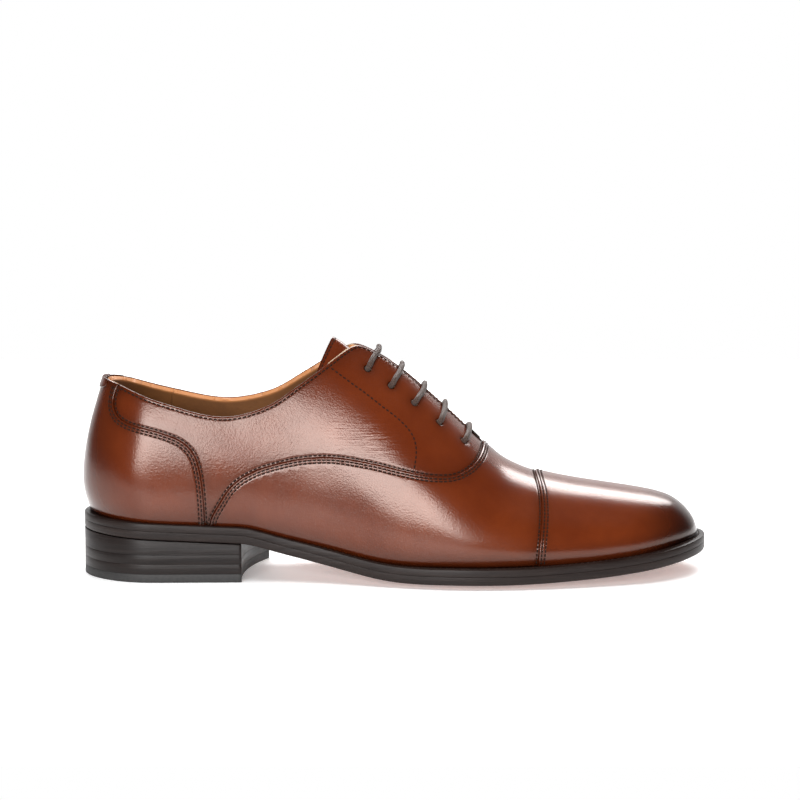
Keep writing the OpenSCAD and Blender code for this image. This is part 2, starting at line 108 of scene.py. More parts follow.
# ---------------------------------------------------------------- smooth curves
def hermite(points, x):
    """Smooth curve through [x, value] points, straight beyond its ends."""
    px, py = (np.array(column, float) for column in zip(*points))
    slope = np.empty_like(py)
    slope[1:-1] = (py[2:] - py[:-2]) / (px[2:] - px[:-2])
    slope[0] = (py[1] - py[0]) / (px[1] - px[0])
    slope[-1] = (py[-1] - py[-2]) / (px[-1] - px[-2])
    i = np.clip(np.searchsorted(px, x, side="right") - 1, 0, len(px) - 2)
    w = px[i + 1] - px[i]
    f = np.clip((x - px[i]) / w, 0, 1)
    value = (py[i] * (1 + 2 * f) * (1 - f) ** 2 + slope[i] * w * f * (1 - f) ** 2
             + py[i + 1] * f * f * (3 - 2 * f) + slope[i + 1] * w * f * f * (f - 1))
    return value + slope[0] * np.minimum(0, x - px[0]) + slope[-1] * np.maximum(0, x - px[-1])


def softened(points, spread):
    """The curve through the points with its bends eased over a spread, as a function."""
    step = 0.5
    grid = np.arange(-60, 381, step)
    half = int(4 * spread / step)
    kernel = np.exp(-0.5 * (np.arange(-half, half + 1) * step / spread) ** 2)
    padded = hermite(points, np.concatenate([grid[0] - step * np.arange(half, 0, -1), grid,
                                             grid[-1] + step * np.arange(1, half + 1)]))
    eased = np.convolve(padded, kernel / kernel.sum(), mode="valid")
    return lambda x: np.interp(x, grid, eased)


lateral_half = softened(LATERAL_HALF, 6)
medial_half = softened(MEDIAL_HALF, 6)
sole_margin = softened(SOLE_MARGIN, 5)
axis_line = softened(AXIS_LINE, 8)
waist_line = softened(WAIST_LINE, 3)
tread_crown = softened(TREAD_CROWN, 6)
crest_line = softened(CREST_LINE, 3)
section_power = softened(SECTION_POWER, 8)
back_profile = softened(BACK_PROFILE, 3)
tongue_half = softened(TONGUE_HALF, 5)
tongue_depth = softened(TONGUE_DEPTH, 3)


def round_end(d, reach):
    return np.sqrt(np.clip(1 - (1 - np.clip(d, 0, reach) / reach) ** 2, 0, 1))


def smooth_step(low, high, value):
    f = np.clip((value - low) / (high - low), 0, 1)
    return f * f * (3 - 2 * f)


# ---------------------------------------------------------------- the last's skin
def sole_bottom(x):
    straight = HEEL_HEIGHT - (HEEL_HEIGHT - SEAT_FRONT_Z) * x / SEAT_FRONT_X
    return np.where(x < SEAT_FRONT_X, straight, waist_line(x))


sole_bottom_eased = softened([[x, float(sole_bottom(np.array(float(x))))] for x in range(-20, 325, 5)], 4)


def feather_z(x):
    return sole_bottom_eased(x) + OUTSOLE_T + WELT_T + tread_crown(x)


def side_half(x, side):
    return np.where(side < 0, lateral_half(x), medial_half(x))


def skin(x, a, o=0.0):
    """Points of the upper: a runs from -1 (outer sole edge) over 0 (ridge) to 1."""
    x, a, o = np.broadcast_arrays(np.asarray(x, float), np.asarray(a, float), np.asarray(o, float))
    side = np.where(a < 0, -1.0, 1.0)
    angle = np.pi / 2 * (1 - np.abs(a))
    half = np.maximum(0.02, (side_half(x, side) + o) * round_end(x, HEEL_CLOSE)
                      * round_end(TIP_X - x, TOE_CLOSE))
    tuck = 2.5 * (1 - np.sin(angle)) ** 8 * np.minimum(1, half / 8)
    low = feather_z(x)
    rise = np.maximum(1.5, (crest_line(x) - low) * round_end(TIP_X - x + 0.1, CREST_CLOSE) + o)
    z = low + rise * np.sin(angle)
    lean = back_profile(z) * np.maximum(0, 1 - x / 110) ** 2
    y = axis_line(x) + side * np.maximum(0.0, half * np.cos(angle) ** section_power(x) - tuck)
    return np.stack([MID_X + (x - MID_X) * (1 + o / MID_X) + lean, y, z], axis=-1)


def skin_axes(x, a):
    """Steps along the skin for a small change of x and of a."""
    dx, da = 0.2, 0.004
    x = np.clip(x, dx * 1.5, TIP_X - dx * 1.5)
    along = (skin(x + dx, a) - skin(x - dx, a)) / (2 * dx)
    across = (skin(x, a + da) - skin(x, a - da)) / (2 * da)
    return along, across


def skin_normal(x, a):
    along, across = skin_axes(x, a)
    n = np.cross(along, across)
    return n / np.maximum(1e-9, np.linalg.norm(n, axis=-1, keepdims=True))


def from_side_view(points, side):
    """(x, a) of side-view points [x, z] on the given side of the skin."""
    target = np.array(points, float)
    x = target[:, 0].copy()
    for _ in range(30):
        low = feather_z(x)
        rise = (crest_line(x) - low) * round_end(TIP_X - x + 0.1, CREST_CLOSE)
        sine = np.clip((target[:, 1] - low) / rise, 0, 1)
        lean = back_profile(target[:, 1]) * np.maximum(0, 1 - x / 110) ** 2
        x = np.clip(x + 0.6 * (target[:, 0] - lean - x), 0.0, TIP_X)
    return np.stack([x, side * (1 - np.arcsin(sine) * 2 / np.pi)], axis=-1)


def from_plan(x, y):
    """(x, a) of the place at a distance y from the ridge."""
    x, y = np.broadcast_arrays(np.asarray(x, float), np.asarray(y, float))
    side = np.where(y < 0, -1.0, 1.0)
    half = side_half(x, side) * round_end(x, HEEL_CLOSE) * round_end(TIP_X - x, TOE_CLOSE)
    cosine = np.clip(np.abs(y) / half, 0, 1) ** (1 / section_power(x))
    return np.stack([x, side * np.arccos(cosine) * -2 / np.pi + side], axis=-1)


def eased_path(points, spacing, spread=1.5):
    """Even points along a smooth path through given corner points."""
    corners = np.array(points, float)
    run = np.concatenate([[0], np.cumsum(np.linalg.norm(np.diff(corners, axis=0), axis=1))])
    fine = np.linspace(0, run[-1], int(run[-1] / 0.25) + 2)
    columns = [hermite(list(zip(run, corners[:, k])), fine) for k in range(corners.shape[1])]
    path = np.stack(columns, axis=-1)
    if spread:
        half = int(3 * spread / 0.25)
        kernel = np.exp(-0.5 * (np.arange(-half, half + 1) * 0.25 / spread) ** 2)
        kernel /= kernel.sum()
        ends = np.concatenate([2 * path[0] - path[half:0:-1], path, 2 * path[-1] - path[-2:-half - 2:-1]])
        columns = [np.convolve(ends[:, k], kernel, mode="valid") for k in range(path.shape[1])]
        path = np.stack(columns, axis=-1)
    return resampled(path, spacing)


def resampled(path, spacing):
    run = np.concatenate([[0], np.cumsum(np.linalg.norm(np.diff(path, axis=0), axis=1))])
    count = max(2, int(round(run[-1] / spacing)) + 1)
    even = np.linspace(0, run[-1], count)
    return np.stack([np.interp(even, run, path[:, k]) for k in range(path.shape[1])], axis=-1)


# ---------------------------------------------------------------- seams as paths on the skin
def seam_on_side(points, side):
    return from_side_view(eased_path(points, 0.5), side)


def throat_half_gap(x):
    return np.interp(x, [120, 131, 192, 198], [6.0, THROAT_GAP, 1.5, 0.3])


def vamp_seam_path():
    """Over the outer side, across the foot of the throat and down the inner side."""
    left = seam_on_side(VAMP_SEAM, -1)
    right = seam_on_side(VAMP_SEAM, 1)[::-1]
    left, right = left[left[:, 1] < -0.012], right[right[:, 1] > 0.012]
    return np.concatenate([left, right])


def cap_seam_path():
    a = np.linspace(-1, 1, 240)
    return np.stack([CAP_SEAM_X - 0.6 + 2.0 * np.sin(np.pi * np.abs(a)) ** 1.5, a], axis=-1)


def top_edge_path(side):
    """Topline from the back seam to the facing's corner, then down the throat's edge."""
    lift = MEDIAL_TOPLINE_RISE if side > 0 else 0.0
    collar = seam_on_side([[x, z + lift * math.exp(-((x - 70) / 30) ** 2)] for x, z in TOPLINE], side)
    collar = np.concatenate([[[0.0, collar[0, 1]]], collar])
    x = np.linspace(132.5, 197.5, 130)
    facing = from_plan(x, side * throat_half_gap(x))
    corner = np.concatenate([collar, facing])
    return eased_uv(corner)


def eased_uv(path, spread=3):
    """Rounds the corner of an (x, a) path a little."""
    kernel = np.exp(-0.5 * (np.arange(-9, 10) / spread) ** 2)
    kernel /= kernel.sum()
    ends = np.concatenate([2 * path[0] - path[9:0:-1], path, 2 * path[-1] - path[-2:-11:-1]])
    smooth = np.stack([np.convolve(ends[:, k], kernel, mode="valid") for k in range(2)], axis=-1)
    smooth[:, 0] = np.where(path[:, 0] < 20, path[:, 0], smooth[:, 0])
    return smooth


def shifted(path, distance):
    """A path moved sideways on the skin, to its left for a positive distance."""
    points = skin(path[:, 0], path[:, 1])
    way = np.gradient(points, axis=0)
    way /= np.linalg.norm(way, axis=1, keepdims=True)
    normal = skin_normal(path[:, 0], path[:, 1])
    sideways = np.cross(normal, way) * distance
    along, across = skin_axes(path[:, 0], path[:, 1])
    aa, ab, bb = (np.sum(u * v, axis=1) for u, v in ((along, along), (along, across), (across, across)))
    ra, rb = np.sum(along * sideways, axis=1), np.sum(across * sideways, axis=1)
    det = np.maximum(1e-9, aa * bb - ab * ab)
    return path + np.stack([(ra * bb - rb * ab) / det, (rb * aa - ra * ab) / det], axis=-1)


class SeamField:
    """Distance over the skin from a seam: positive inside a region given by its outline."""

    def __init__(self, path, region):
        self.points = skin(path[:, 0], path[:, 1])
        self.points = resampled(self.points, 0.25)
        self.tree = KDTree(len(self.points))
        for i, p in enumerate(self.points):
            self.tree.insert(p, i)
        self.tree.balance()
        self.region = region

    def __call__(self, uv):
        where = skin(uv[:, 0], uv[:, 1])
        gap = np.array([self.tree.find(p)[2] for p in where])
        return np.where(self.region(uv, where), gap, -gap)


def within(polygon, x, z):
    """True for the points inside a flat polygon."""
    hit = np.zeros(len(x), bool)
    for (x0, z0), (x1, z1) in zip(polygon, np.roll(polygon, -1, axis=0)):
        if z0 == z1:
            continue
        crosses = (z0 > z) != (z1 > z)
        hit ^= crosses & (x < (x1 - x0) * (z - z0) / (z1 - z0) + x0)
    return hit


def skin_region(outline):
    """True inside a polygon drawn over (x, a)."""
    polygon = np.array(outline, float)
    return lambda uv, where: within(polygon, uv[:, 0], uv[:, 1])


vamp_path = vamp_seam_path()
cap_path = cap_seam_path()
vamp_field = SeamField(vamp_path, skin_region(
    np.concatenate([[[vamp_path[0, 0], -2]], vamp_path, [[vamp_path[-1, 0], 2], [400, 2], [400, -2]]])))
cap_field = SeamField(
    cap_path, lambda uv, where: uv[:, 0] > np.interp(uv[:, 1], cap_path[:, 1], cap_path[:, 0]))
cover_paths = {side: seam_on_side(COVER_SEAM, side) for side in (-1, 1)}
top_paths = {side: top_edge_path(side) for side in (-1, 1)}
cover_fields = {}
top_fields = {}
for side in (-1, 1):
    path = cover_paths[side]
    cover_fields[side] = SeamField(path, skin_region(
        np.concatenate([path, [[path[-1, 0], side * 2], [-9, side * 2], [-9, path[0, 1]]]])))
    path = top_paths[side]
    opening = skin_region(np.concatenate([[[-9, path[0, 1]]], path, [[path[-1, 0], -side], [-9, -side]]]))
    top_fields[side] = SeamField(path, lambda uv, where, opening=opening: ~opening(uv, where))


def by_side(fields):
    def value(uv):
        out = np.empty(len(uv))
        for side in (-1, 1):
            pick = (uv[:, 1] < 0) if side < 0 else (uv[:, 1] >= 0)
            if pick.any():
                out[pick] = fields[side](uv[pick])
        return out
    return value


cover_field = by_side(cover_fields)
top_field = by_side(top_fields)


def eyelet_field(uv):
    where = skin(uv[:, 0], uv[:, 1])
    best = np.full(len(uv), 50.0)
    for side in (-1, 1):
        for x, y in EYELETS:
            spot = from_plan(x, side * y)
            centre = skin(spot[0], spot[1])
            best = np.minimum(best, np.linalg.norm(where - centre, axis=1))
    return best - EYELET_R


# ---------------------------------------------------------------- cut sheets of leather
class Sheet:
    """Polygons over the skin, kept as (x, a) points, that seams can be cut into."""

    def __init__(self, rows, columns, x0=0.001, x1=TIP_X - 0.02):
        x = x0 + (x1 - x0) * (1 - np.cos(np.pi * np.linspace(0, 1, rows + 1))) / 2
        a = np.linspace(-1, 1, columns + 1)
        self.uv = np.stack(np.meshgrid(x, a, indexing="ij"), axis=-1).reshape(-1, 2)
        width = columns + 1
        self.faces = [[i * width + j, (i + 1) * width + j, (i + 1) * width + j + 1, i * width + j + 1]
                      for i in range(rows) for j in range(columns)]

    def copy(self):
        other = Sheet.__new__(Sheet)
        other.uv, other.faces = self.uv.copy(), [list(f) for f in self.faces]
        return other

    def cut(self, field, levels):
        """Splits the polygons along each level of a field."""
        reach = max(abs(level) for level in levels) + 4
        values = field(self.uv)
        for level in levels:
            v = values - level
            v[np.abs(v) < 1e-6] = 1e-6
            new_uv, made = [], {}
            faces = []
            base = len(self.uv)
            sign = v > 0
            for face in self.faces:
                flags = [sign[k] for k in face]
                if all(flags) or not any(flags) or abs(v[face[0]]) > reach:
                    faces.append(face)
                    continue
                loop, crossings = [], []
                for k, here in enumerate(face):
                    there = face[(k + 1) % len(face)]
                    loop.append(here)
                    if sign[here] != sign[there]:
                        key = (here, there) if here < there else (there, here)
                        if key not in made:
                            f = v[key[0]] / (v[key[0]] - v[key[1]])
                            made[key] = base + len(new_uv)
                            new_uv.append(self.uv[key[0]] * (1 - f) + self.uv[key[1]] * f)
                        crossings.append(len(loop))
                        loop.append(made[key])
                if len(crossings) != 2:
                    faces.append(loop)
                    continue
                i, j = crossings
                faces.append(loop[i:j + 1])
                faces.append(loop[j:] + loop[:i + 1])
            self.faces = faces
            if new_uv:
                new_uv = np.array(new_uv)
                self.uv = np.concatenate([self.uv, new_uv])
                values = np.concatenate([values, np.full(len(new_uv), float(level))])
        return self

    def keep(self, test):
        """Keeps the polygons whose middle passes a test over (x, a)."""
        middles = np.array([self.uv[f].mean(axis=0) for f in self.faces])
        passed = test(middles)
        self.faces = [f for f, ok in zip(self.faces, passed) if ok]
        used = sorted({k for f in self.faces for k in f})
        index = {k: n for n, k in enumerate(used)}
        self.uv = self.uv[used]
        self.faces = [[index[k] for k in f] for f in self.faces]
        return self


def to_metres(points):
    out = np.array(points, float)
    out[:, 0] += HEEL_X
    return out * 0.001


def make_object(name, points, faces, material, smooth=True):
    mesh = bpy.data.meshes.new(name)
    mesh.from_pydata(to_metres(points).tolist(), [], [list(map(int, f)) for f in faces])
    mesh.validate()
    mesh.update()
    if smooth:
        mesh.polygons.foreach_set("use_smooth", [True] * len(mesh.polygons))
    mesh.materials.append(material)
    piece = bpy.data.objects.new(name, mesh)
    bpy.context.scene.collection.objects.link(piece)
    return piece


def add_mask(piece, name, values):
    attribute = piece.data.attributes.new(name, "FLOAT", "POINT")
    attribute.data.foreach_set("value", np.asarray(values, dtype=np.float32))


def solidify(piece, thickness_mm, offset=-1.0):
    """Gives an open sheet its thickness, as real geometry."""
    modifier = piece.modifiers.new("thickness", "SOLIDIFY")
    modifier.thickness = thickness_mm * 0.001
    modifier.offset = offset
    modifier.use_even_offset = False
    return piece


# ---------------------------------------------------------------- materials
def new_material(name):
    material = bpy.data.materials.new(name)
    material.use_nodes = True
    tree = material.node_tree
    shader = tree.nodes["Principled BSDF"]
    return material, tree, shader


def link(tree, a, b):
    tree.links.new(a, b)


def noise_node(tree, scale, detail=4.0, rough=0.5, distortion=0.0, vector=None):
    node = tree.nodes.new("ShaderNodeTexNoise")
    node.inputs["Scale"].default_value = scale
    node.inputs["Detail"].default_value = detail
    node.inputs["Roughness"].default_value = rough
    node.inputs["Distortion"].default_value = distortion
    if vector is not None:
        link(tree, vector, node.inputs["Vector"])
    return node.outputs["Fac"]


def ramp(tree, value, stops):
    node = tree.nodes.new("ShaderNodeValToRGB")
    elements = node.color_ramp.elements
    while len(elements) > 1:
        elements.remove(elements[-1])
    elements[0].position, elements[0].color = stops[0][0], (*stops[0][1], 1)
    for position, colour in stops[1:]:
        elements.new(position).color = (*colour, 1)
    link(tree, value, node.inputs["Fac"])
    return node.outputs["Color"]


def mix(tree, factor, a, b, blend="MIX"):
    node = tree.nodes.new("ShaderNodeMix")
    node.data_type = "RGBA"
    node.blend_type = blend
    for value, socket in ((factor, node.inputs[0]), (a, node.inputs[6]), (b, node.inputs[7])):
        if isinstance(value, (int, float)):
            socket.default_value = value
        elif isinstance(value, tuple):
            socket.default_value = (*value, 1)
        else:
            link(tree, value, socket)
    return node.outputs[2]


def maths(tree, operation, a, b=None):
    node = tree.nodes.new("ShaderNodeMath")
    node.operation = operation
    for value, socket in zip((a, b), node.inputs):
        if value is None:
            continue
        if isinstance(value, (int, float)):
            socket.default_value = value
        else:
            link(tree, value, socket)
    return node.outputs[0]


def attribute(tree, name):
    node = tree.nodes.new("ShaderNodeAttribute")
    node.attribute_name = name
    return node.outputs["Fac"]


def object_vector(tree):
    return tree.nodes.new("ShaderNodeTexCoord").outputs["Object"]


def bump(tree, shader, height, strength, distance):
    node = tree.nodes.new("ShaderNodeBump")
    node.inputs["Strength"].default_value = strength
    node.inputs["Distance"].default_value = distance
    link(tree, height, node.inputs["Height"])
    link(tree, node.outputs["Normal"], shader.inputs["Normal"])


CREASE_STRETCH = (70, 70, 900)


def calf_material(name, mid, light, dark):
    """Polished, hand-burnished calf: clouded colour, edges darkened by burnish and painted shade, fine grain
    and creases.
    """
    material, tree, shader = new_material(name)
    where = object_vector(tree)
    clouds = noise_node(tree, 26, 5, 0.55, 0.4, where)
    streaks = noise_node(tree, 90, 6, 0.6, 0.8, where)
    base = ramp(tree, clouds, [(0.30, mid), (0.72, light)])
    base = mix(tree, maths(tree, "MULTIPLY", streaks, 0.35), base, dark)
    # Burnish and painted shade: this mask darkens the colour toward the toe, heel, sole and seams
    burnish_and_shade = attribute(tree, "burnish_and_shade")
    wobble = maths(tree, "MULTIPLY", maths(tree, "SUBTRACT", clouds, 0.5), 0.7)
    amount = maths(tree, "ADD", burnish_and_shade, maths(tree, "MULTIPLY", wobble, burnish_and_shade))
    clamp = tree.nodes.new("ShaderNodeClamp")
    link(tree, amount, clamp.inputs["Value"])
    colour = mix(tree, clamp.outputs[0], base, tuple(c * 0.30 for c in dark))
    link(tree, colour, shader.inputs["Base Color"])
    grain = tree.nodes.new("ShaderNodeTexVoronoi")
    grain.feature = "SMOOTH_F1"
    grain.inputs["Scale"].default_value = 1500
    link(tree, where, grain.inputs["Vector"])
    pores = noise_node(tree, 700, 3, 0.6, 0, where)
    folds = noise_node(tree, 130, 4, 0.55, 1.2, where)
    height = maths(tree, "ADD", maths(tree, "MULTIPLY", grain.outputs["Distance"], 0.4),
                   maths(tree, "MULTIPLY", pores, 0.4))
    height = maths(tree, "ADD", height, maths(tree, "MULTIPLY", folds, 0.35))
    stretched = tree.nodes.new("ShaderNodeMapping")
    stretched.inputs["Scale"].default_value = CREASE_STRETCH
    link(tree, where, stretched.inputs["Vector"])
    creases = noise_node(tree, 1.0, 3, 0.5, 0.6, stretched.outputs["Vector"])
    creased_part = maths(tree, "MULTIPLY", maths(tree, "MULTIPLY", creases, 2.2), attribute(tree, "crease"))
    height = maths(tree, "ADD", height, creased_part)
    bump(tree, shader, height, 0.16, 0.0006)
    roughness = tree.nodes.new("ShaderNodeMapRange")
    link(tree, streaks, roughness.inputs["Value"])
    roughness.inputs["To Min"].default_value = 0.18
    roughness.inputs["To Max"].default_value = 0.26
    link(tree, roughness.outputs[0], shader.inputs["Roughness"])
    shader.inputs["Coat Weight"].default_value = 0.1
    shader.inputs["Coat Roughness"].default_value = 0.15
    shader.inputs["Specular IOR Level"].default_value = 0.55
    shader.inputs["Specular Tint"].default_value = (1.0, 0.82, 0.74, 1)
    return material


def plain_leather(name, mid, light, roughness, grain_scale=600, strength=0.25, rim=None):
    """Unpolished leather, such as a lining or a board: soft mottling and a fine grain."""
    material, tree, shader = new_material(name)
    where = object_vector(tree)
    clouds = noise_node(tree, 45, 6, 0.6, 0.3, where)
    colour = ramp(tree, clouds, [(0.3, mid), (0.7, light)])
    if rim:
        colour = mix(tree, attribute(tree, "rim"), colour, rim)
    link(tree, colour, shader.inputs["Base Color"])
    height = noise_node(tree, grain_scale, 5, 0.65, 0, where)
    bump(tree, shader, height, strength, 0.0008)
    shader.inputs["Roughness"].default_value = roughness
    shader.inputs["Sheen Weight"].default_value = 0.15
    return material


def edge_material(name, mid, light, roughness, stretch=(40, 40, 900)):
    """Dyed and waxed leather edge, with the faint layers of the hide showing."""
    material, tree, shader = new_material(name)
    mapping = tree.nodes.new("ShaderNodeMapping")
    mapping.inputs["Scale"].default_value = stretch
    link(tree, object_vector(tree), mapping.inputs["Vector"])
    layers = noise_node(tree, 1.0, 4, 0.6, 0.2, mapping.outputs["Vector"])
    clouds = noise_node(tree, 60, 4, 0.6, 0, object_vector(tree))
    colour = ramp(tree, layers, [(0.32, mid), (0.75, light)])
    colour = mix(tree, maths(tree, "MULTIPLY", clouds, 0.5), colour, tuple(c * 0.5 for c in mid))
    link(tree, colour, shader.inputs["Base Color"])
    bump(tree, shader, layers, 0.35, 0.0004)
    shader.inputs["Roughness"].default_value = roughness
    shader.inputs["Specular IOR Level"].default_value = 0.22
    return material


def thread_material(name, mid, light):
    material, tree, shader = new_material(name)
    fine = noise_node(tree, 2500, 3, 0.6, 0, object_vector(tree))
    link(tree, ramp(tree, fine, [(0.35, mid), (0.7, light)]), shader.inputs["Base Color"])
    bump(tree, shader, fine, 0.5, 0.0002)
    shader.inputs["Roughness"].default_value = 0.75
    shader.inputs["Specular IOR Level"].default_value = 0.12
    return material


def braid_material(name, mid, light):
    """Round waxed lace: fine crossing strands around the cord, from its own coordinates."""
    material, tree, shader = new_material(name)
    uv = tree.nodes.new("ShaderNodeUVMap")
    uv.uv_map = "along"
    split = tree.nodes.new("ShaderNodeSeparateXYZ")
    link(tree, uv.outputs["UV"], split.inputs[0])
    heights = []
    for turn in (1.0, -1.0):
        phase = maths(tree, "ADD", maths(tree, "MULTIPLY", split.outputs["X"], 9.0),
                      maths(tree, "MULTIPLY", split.outputs["Y"], 2 * math.pi * 4 * turn))
        heights.append(maths(tree, "SINE", phase))
    weave = maths(tree, "MAXIMUM", heights[0], heights[1])
    fluff = noise_node(tree, 1800, 3, 0.6, 0, object_vector(tree))
    shade = maths(tree, "ADD", maths(tree, "MULTIPLY", weave, 0.25), fluff)
    link(tree, ramp(tree, shade, [(0.25, mid), (0.85, light)]), shader.inputs["Base Color"])
    bump(tree, shader, weave, 0.5, 0.0003)
    shader.inputs["Roughness"].default_value = 0.5
    shader.inputs["Specular IOR Level"].default_value = 0.3
    shader.inputs["Sheen Weight"].default_value = 0.15
    return material


def simple_material(name, colour, light, roughness, metallic=0.0, scale=300, strength=0.15):
    material, tree, shader = new_material(name)
    fine = noise_node(tree, scale, 5, 0.6, 0, object_vector(tree))
    link(tree, ramp(tree, fine, [(0.3, colour), (0.75, light)]), shader.inputs["Base Color"])
    bump(tree, shader, fine, strength, 0.0005)
    shader.inputs["Roughness"].default_value = roughness
    shader.inputs["Metallic"].default_value = metallic
    return material


CALF = calf_material("cognac_calf", (0.100, 0.0155, 0.0030), (0.150, 0.027, 0.0055), (0.042, 0.0060, 0.0015))
LINING = plain_leather("lining_leather", (0.12, 0.042, 0.008), (0.20, 0.076, 0.016), 0.6,
                       rim=(0.50, 0.20, 0.065))
SOLE_EDGE = edge_material("sole_edge", (0.012, 0.007, 0.006), (0.028, 0.018, 0.015), 0.42)
HEEL_STACK = edge_material("heel_stack", (0.009, 0.006, 0.0055), (0.022, 0.015, 0.013), 0.40)
TREAD = plain_leather("tread_leather", (0.30, 0.10, 0.055), (0.40, 0.15, 0.085), 0.45, 350, 0.15)
THREAD = thread_material("waxed_thread", (0.010, 0.005, 0.0035), (0.030, 0.015, 0.010))
LACE = braid_material("waxed_lace", (0.022, 0.012, 0.009), (0.085, 0.050, 0.036))
TIP = simple_material("lace_tip", (0.03, 0.02, 0.018), (0.05, 0.035, 0.03), 0.25)
RUBBER = simple_material("top_piece_rubber", (0.016, 0.015, 0.015), (0.028, 0.026, 0.025), 0.6, 0, 500)
BOARD = plain_leather("board", (0.48, 0.33, 0.20), (0.60, 0.44, 0.28), 0.7)
CORK = simple_material("cork", (0.34, 0.20, 0.10), (0.55, 0.36, 0.20), 0.8, 0, 500, 0.5)
STEEL = simple_material("shank_steel", (0.45, 0.45, 0.47), (0.6, 0.6, 0.62), 0.35, 1.0, 200)
BRASS = simple_material("nail_brass", (0.45, 0.32, 0.13), (0.62, 0.46, 0.22), 0.35, 1.0, 300)

# ---------------------------------------------------------------- upper: leather panels
QUARTER_H, VAMP_H, CAP_H, COVER_H = 0.0, 0.8, 1.5, 0.8
EDGE_ROUND = 0.5
ROWS = (1.2, 2.5)
# Distances from a seam at which the sheets are cut, so that edges, grooves and rows have clean lines
SEAM_LEVELS = [-3.2, -2.3, -1.75, -1.45, -1.2, -0.95, -0.65, 0, 0.1, 0.28, 0.55, 0.9, 1.2, 1.5, 1.85, 2.2,
               2.5, 2.8, 3.3]
TUCKED = 1.5


def groove(d, at, depth=0.16, width=0.22):
    return -depth * np.exp(-0.5 * ((d - at) / width) ** 2)


def rounded(d, radius=EDGE_ROUND):
    """Height of a cut edge over the layer under it: 0 at the edge, 1 past its rounding."""
    f = np.clip(d / radius, 0, 1)
    return np.sqrt(np.clip(1 - (1 - f) ** 2, 0, 1))


def stitch_grooves(d, both=True):
    total = sum(groove(d, row) for row in ROWS)
    return total + (groove(d, -ROWS[0]) if both else 0)


def ripples(x, a):
    """Slow unevenness of leather pulled over a last, and shallow walking creases."""
    p = skin(x, a)
    wave = (np.sin(p[..., 0] * 0.11 + 0.7 * np.sin(p[..., 2] * 0.09)) * np.sin(p[..., 2] * 0.13 + 1.3)
            + 0.6 * np.sin(p[..., 0] * 0.23 + p[..., 2] * 0.17 + 0.4))
    return 0.06 * wave


def surface_points(uv, height):
    """Points raised over the skin by the given heights."""
    base = skin(uv[:, 0], uv[:, 1])
    return base + skin_normal(uv[:, 0], uv[:, 1]) * height[:, None]


def burnish_and_shade_mask(uv, fields):
    """How far the colour is darkened: burnish with painted shade toward the toe and heel, and painted shade
    low by the sole and along the seams.
    """
    p = skin(uv[:, 0], uv[:, 1])
    low = p[:, 2] - feather_z(uv[:, 0])
    toe = smooth_step(250, 294, p[:, 0]) ** 1.6 * 0.97
    heel = (1 - smooth_step(0, 26, p[:, 0])) * 0.6
    # painted shade low by the sole and along the seams
    welt = (1 - smooth_step(0, 11, low)) * 0.5
    seam = sum(np.exp(-(np.abs(f) / 4.0) ** 1.5) * 0.38 for f in fields)
    return np.clip(1 - (1 - toe) * (1 - heel) * (1 - welt) * (1 - np.clip(seam, 0, 0.6)), 0, 1)


def crease_mask(uv):
    """Fine creases where the quarter flexes under the facing."""
    p = skin(uv[:, 0], uv[:, 1])
    return np.exp(-((p[:, 0] - 140) / 22) ** 2 - ((p[:, 2] - 68) / 10) ** 2)


skin_sheet = Sheet(250, 116)
skin_sheet.cut(cap_field, SEAM_LEVELS)
skin_sheet.cut(vamp_field, SEAM_LEVELS)
skin_sheet.cut(cover_field, SEAM_LEVELS)
skin_sheet.cut(top_field, [0, 0.15, 0.4, 0.8, 1.2, 1.6, 2.0, 2.6])
skin_sheet.cut(eyelet_field, [0, 0.25, 0.7])


def leather_panel(name, keep, height_of, nodes, thickness=1.1):
    sheet = skin_sheet.copy().keep(keep)
    uv = sheet.uv
    fields = {"vamp": vamp_field(uv), "cap": cap_field(uv), "cover": cover_field(uv),
              "top": top_field(uv), "eye": eyelet_field(uv)}
    height = height_of(fields) + ripples(uv[:, 0], uv[:, 1])
    piece = make_object(name, surface_points(uv, height), sheet.faces, CALF)
    seams = [fields["vamp"], fields["cap"], fields["cover"], fields["top"] - 1, fields["eye"] * 2]
    # mask of burnish and painted shade, darkening the leather's colour
    add_mask(piece, "burnish_and_shade", burnish_and_shade_mask(uv, seams))
    add_mask(piece, "crease", crease_mask(uv))
    solidify(piece, thickness)
    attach(piece, BODY)
    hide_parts(*nodes)
    return piece


def collar_edge(fields):
    """Folded edge along the topline and the throat: rolls in over about a millimetre."""
    return -0.9 * (1 - rounded(fields["top"], 0.9)) + groove(fields["top"], 1.6, 0.14)


def eyelet_dip(fields):
    return -0.5 * (1 - rounded(fields["eye"], 0.7)) - 0.15 * np.exp(-np.clip(fields["eye"], 0, 9) / 1.2)


def quarter_height(f):
    under = smooth_step(0.0, 0.1, f["vamp"]) + smooth_step(0.0, 0.1, f["cover"])
    seam = groove(f["vamp"], -ROWS[0]) + groove(f["cover"], -ROWS[0])
    return QUARTER_H + seam + collar_edge(f) + eyelet_dip(f) - 0.35 * under


def vamp_height(f):
    over = VAMP_H * rounded(f["vamp"]) - 0.12 * (1 - rounded(f["vamp"], 0.15))
    under = smooth_step(0.0, 0.1, f["cap"])
    return over + stitch_grooves(f["vamp"], False) + groove(f["cap"], -ROWS[0]) - 0.35 * under


def cap_height(f):
    return VAMP_H + (CAP_H - VAMP_H) * rounded(f["cap"]) - 0.12 * (1 - rounded(f["cap"], 0.15)) \
        + stitch_grooves(f["cap"], False)


def cover_height(f):
    return COVER_H * rounded(f["cover"]) - 0.12 * (1 - rounded(f["cover"], 0.15)) \
        + stitch_grooves(f["cover"], False) + collar_edge(f)


def inside(field, value):
    return lambda uv: field(uv) > value


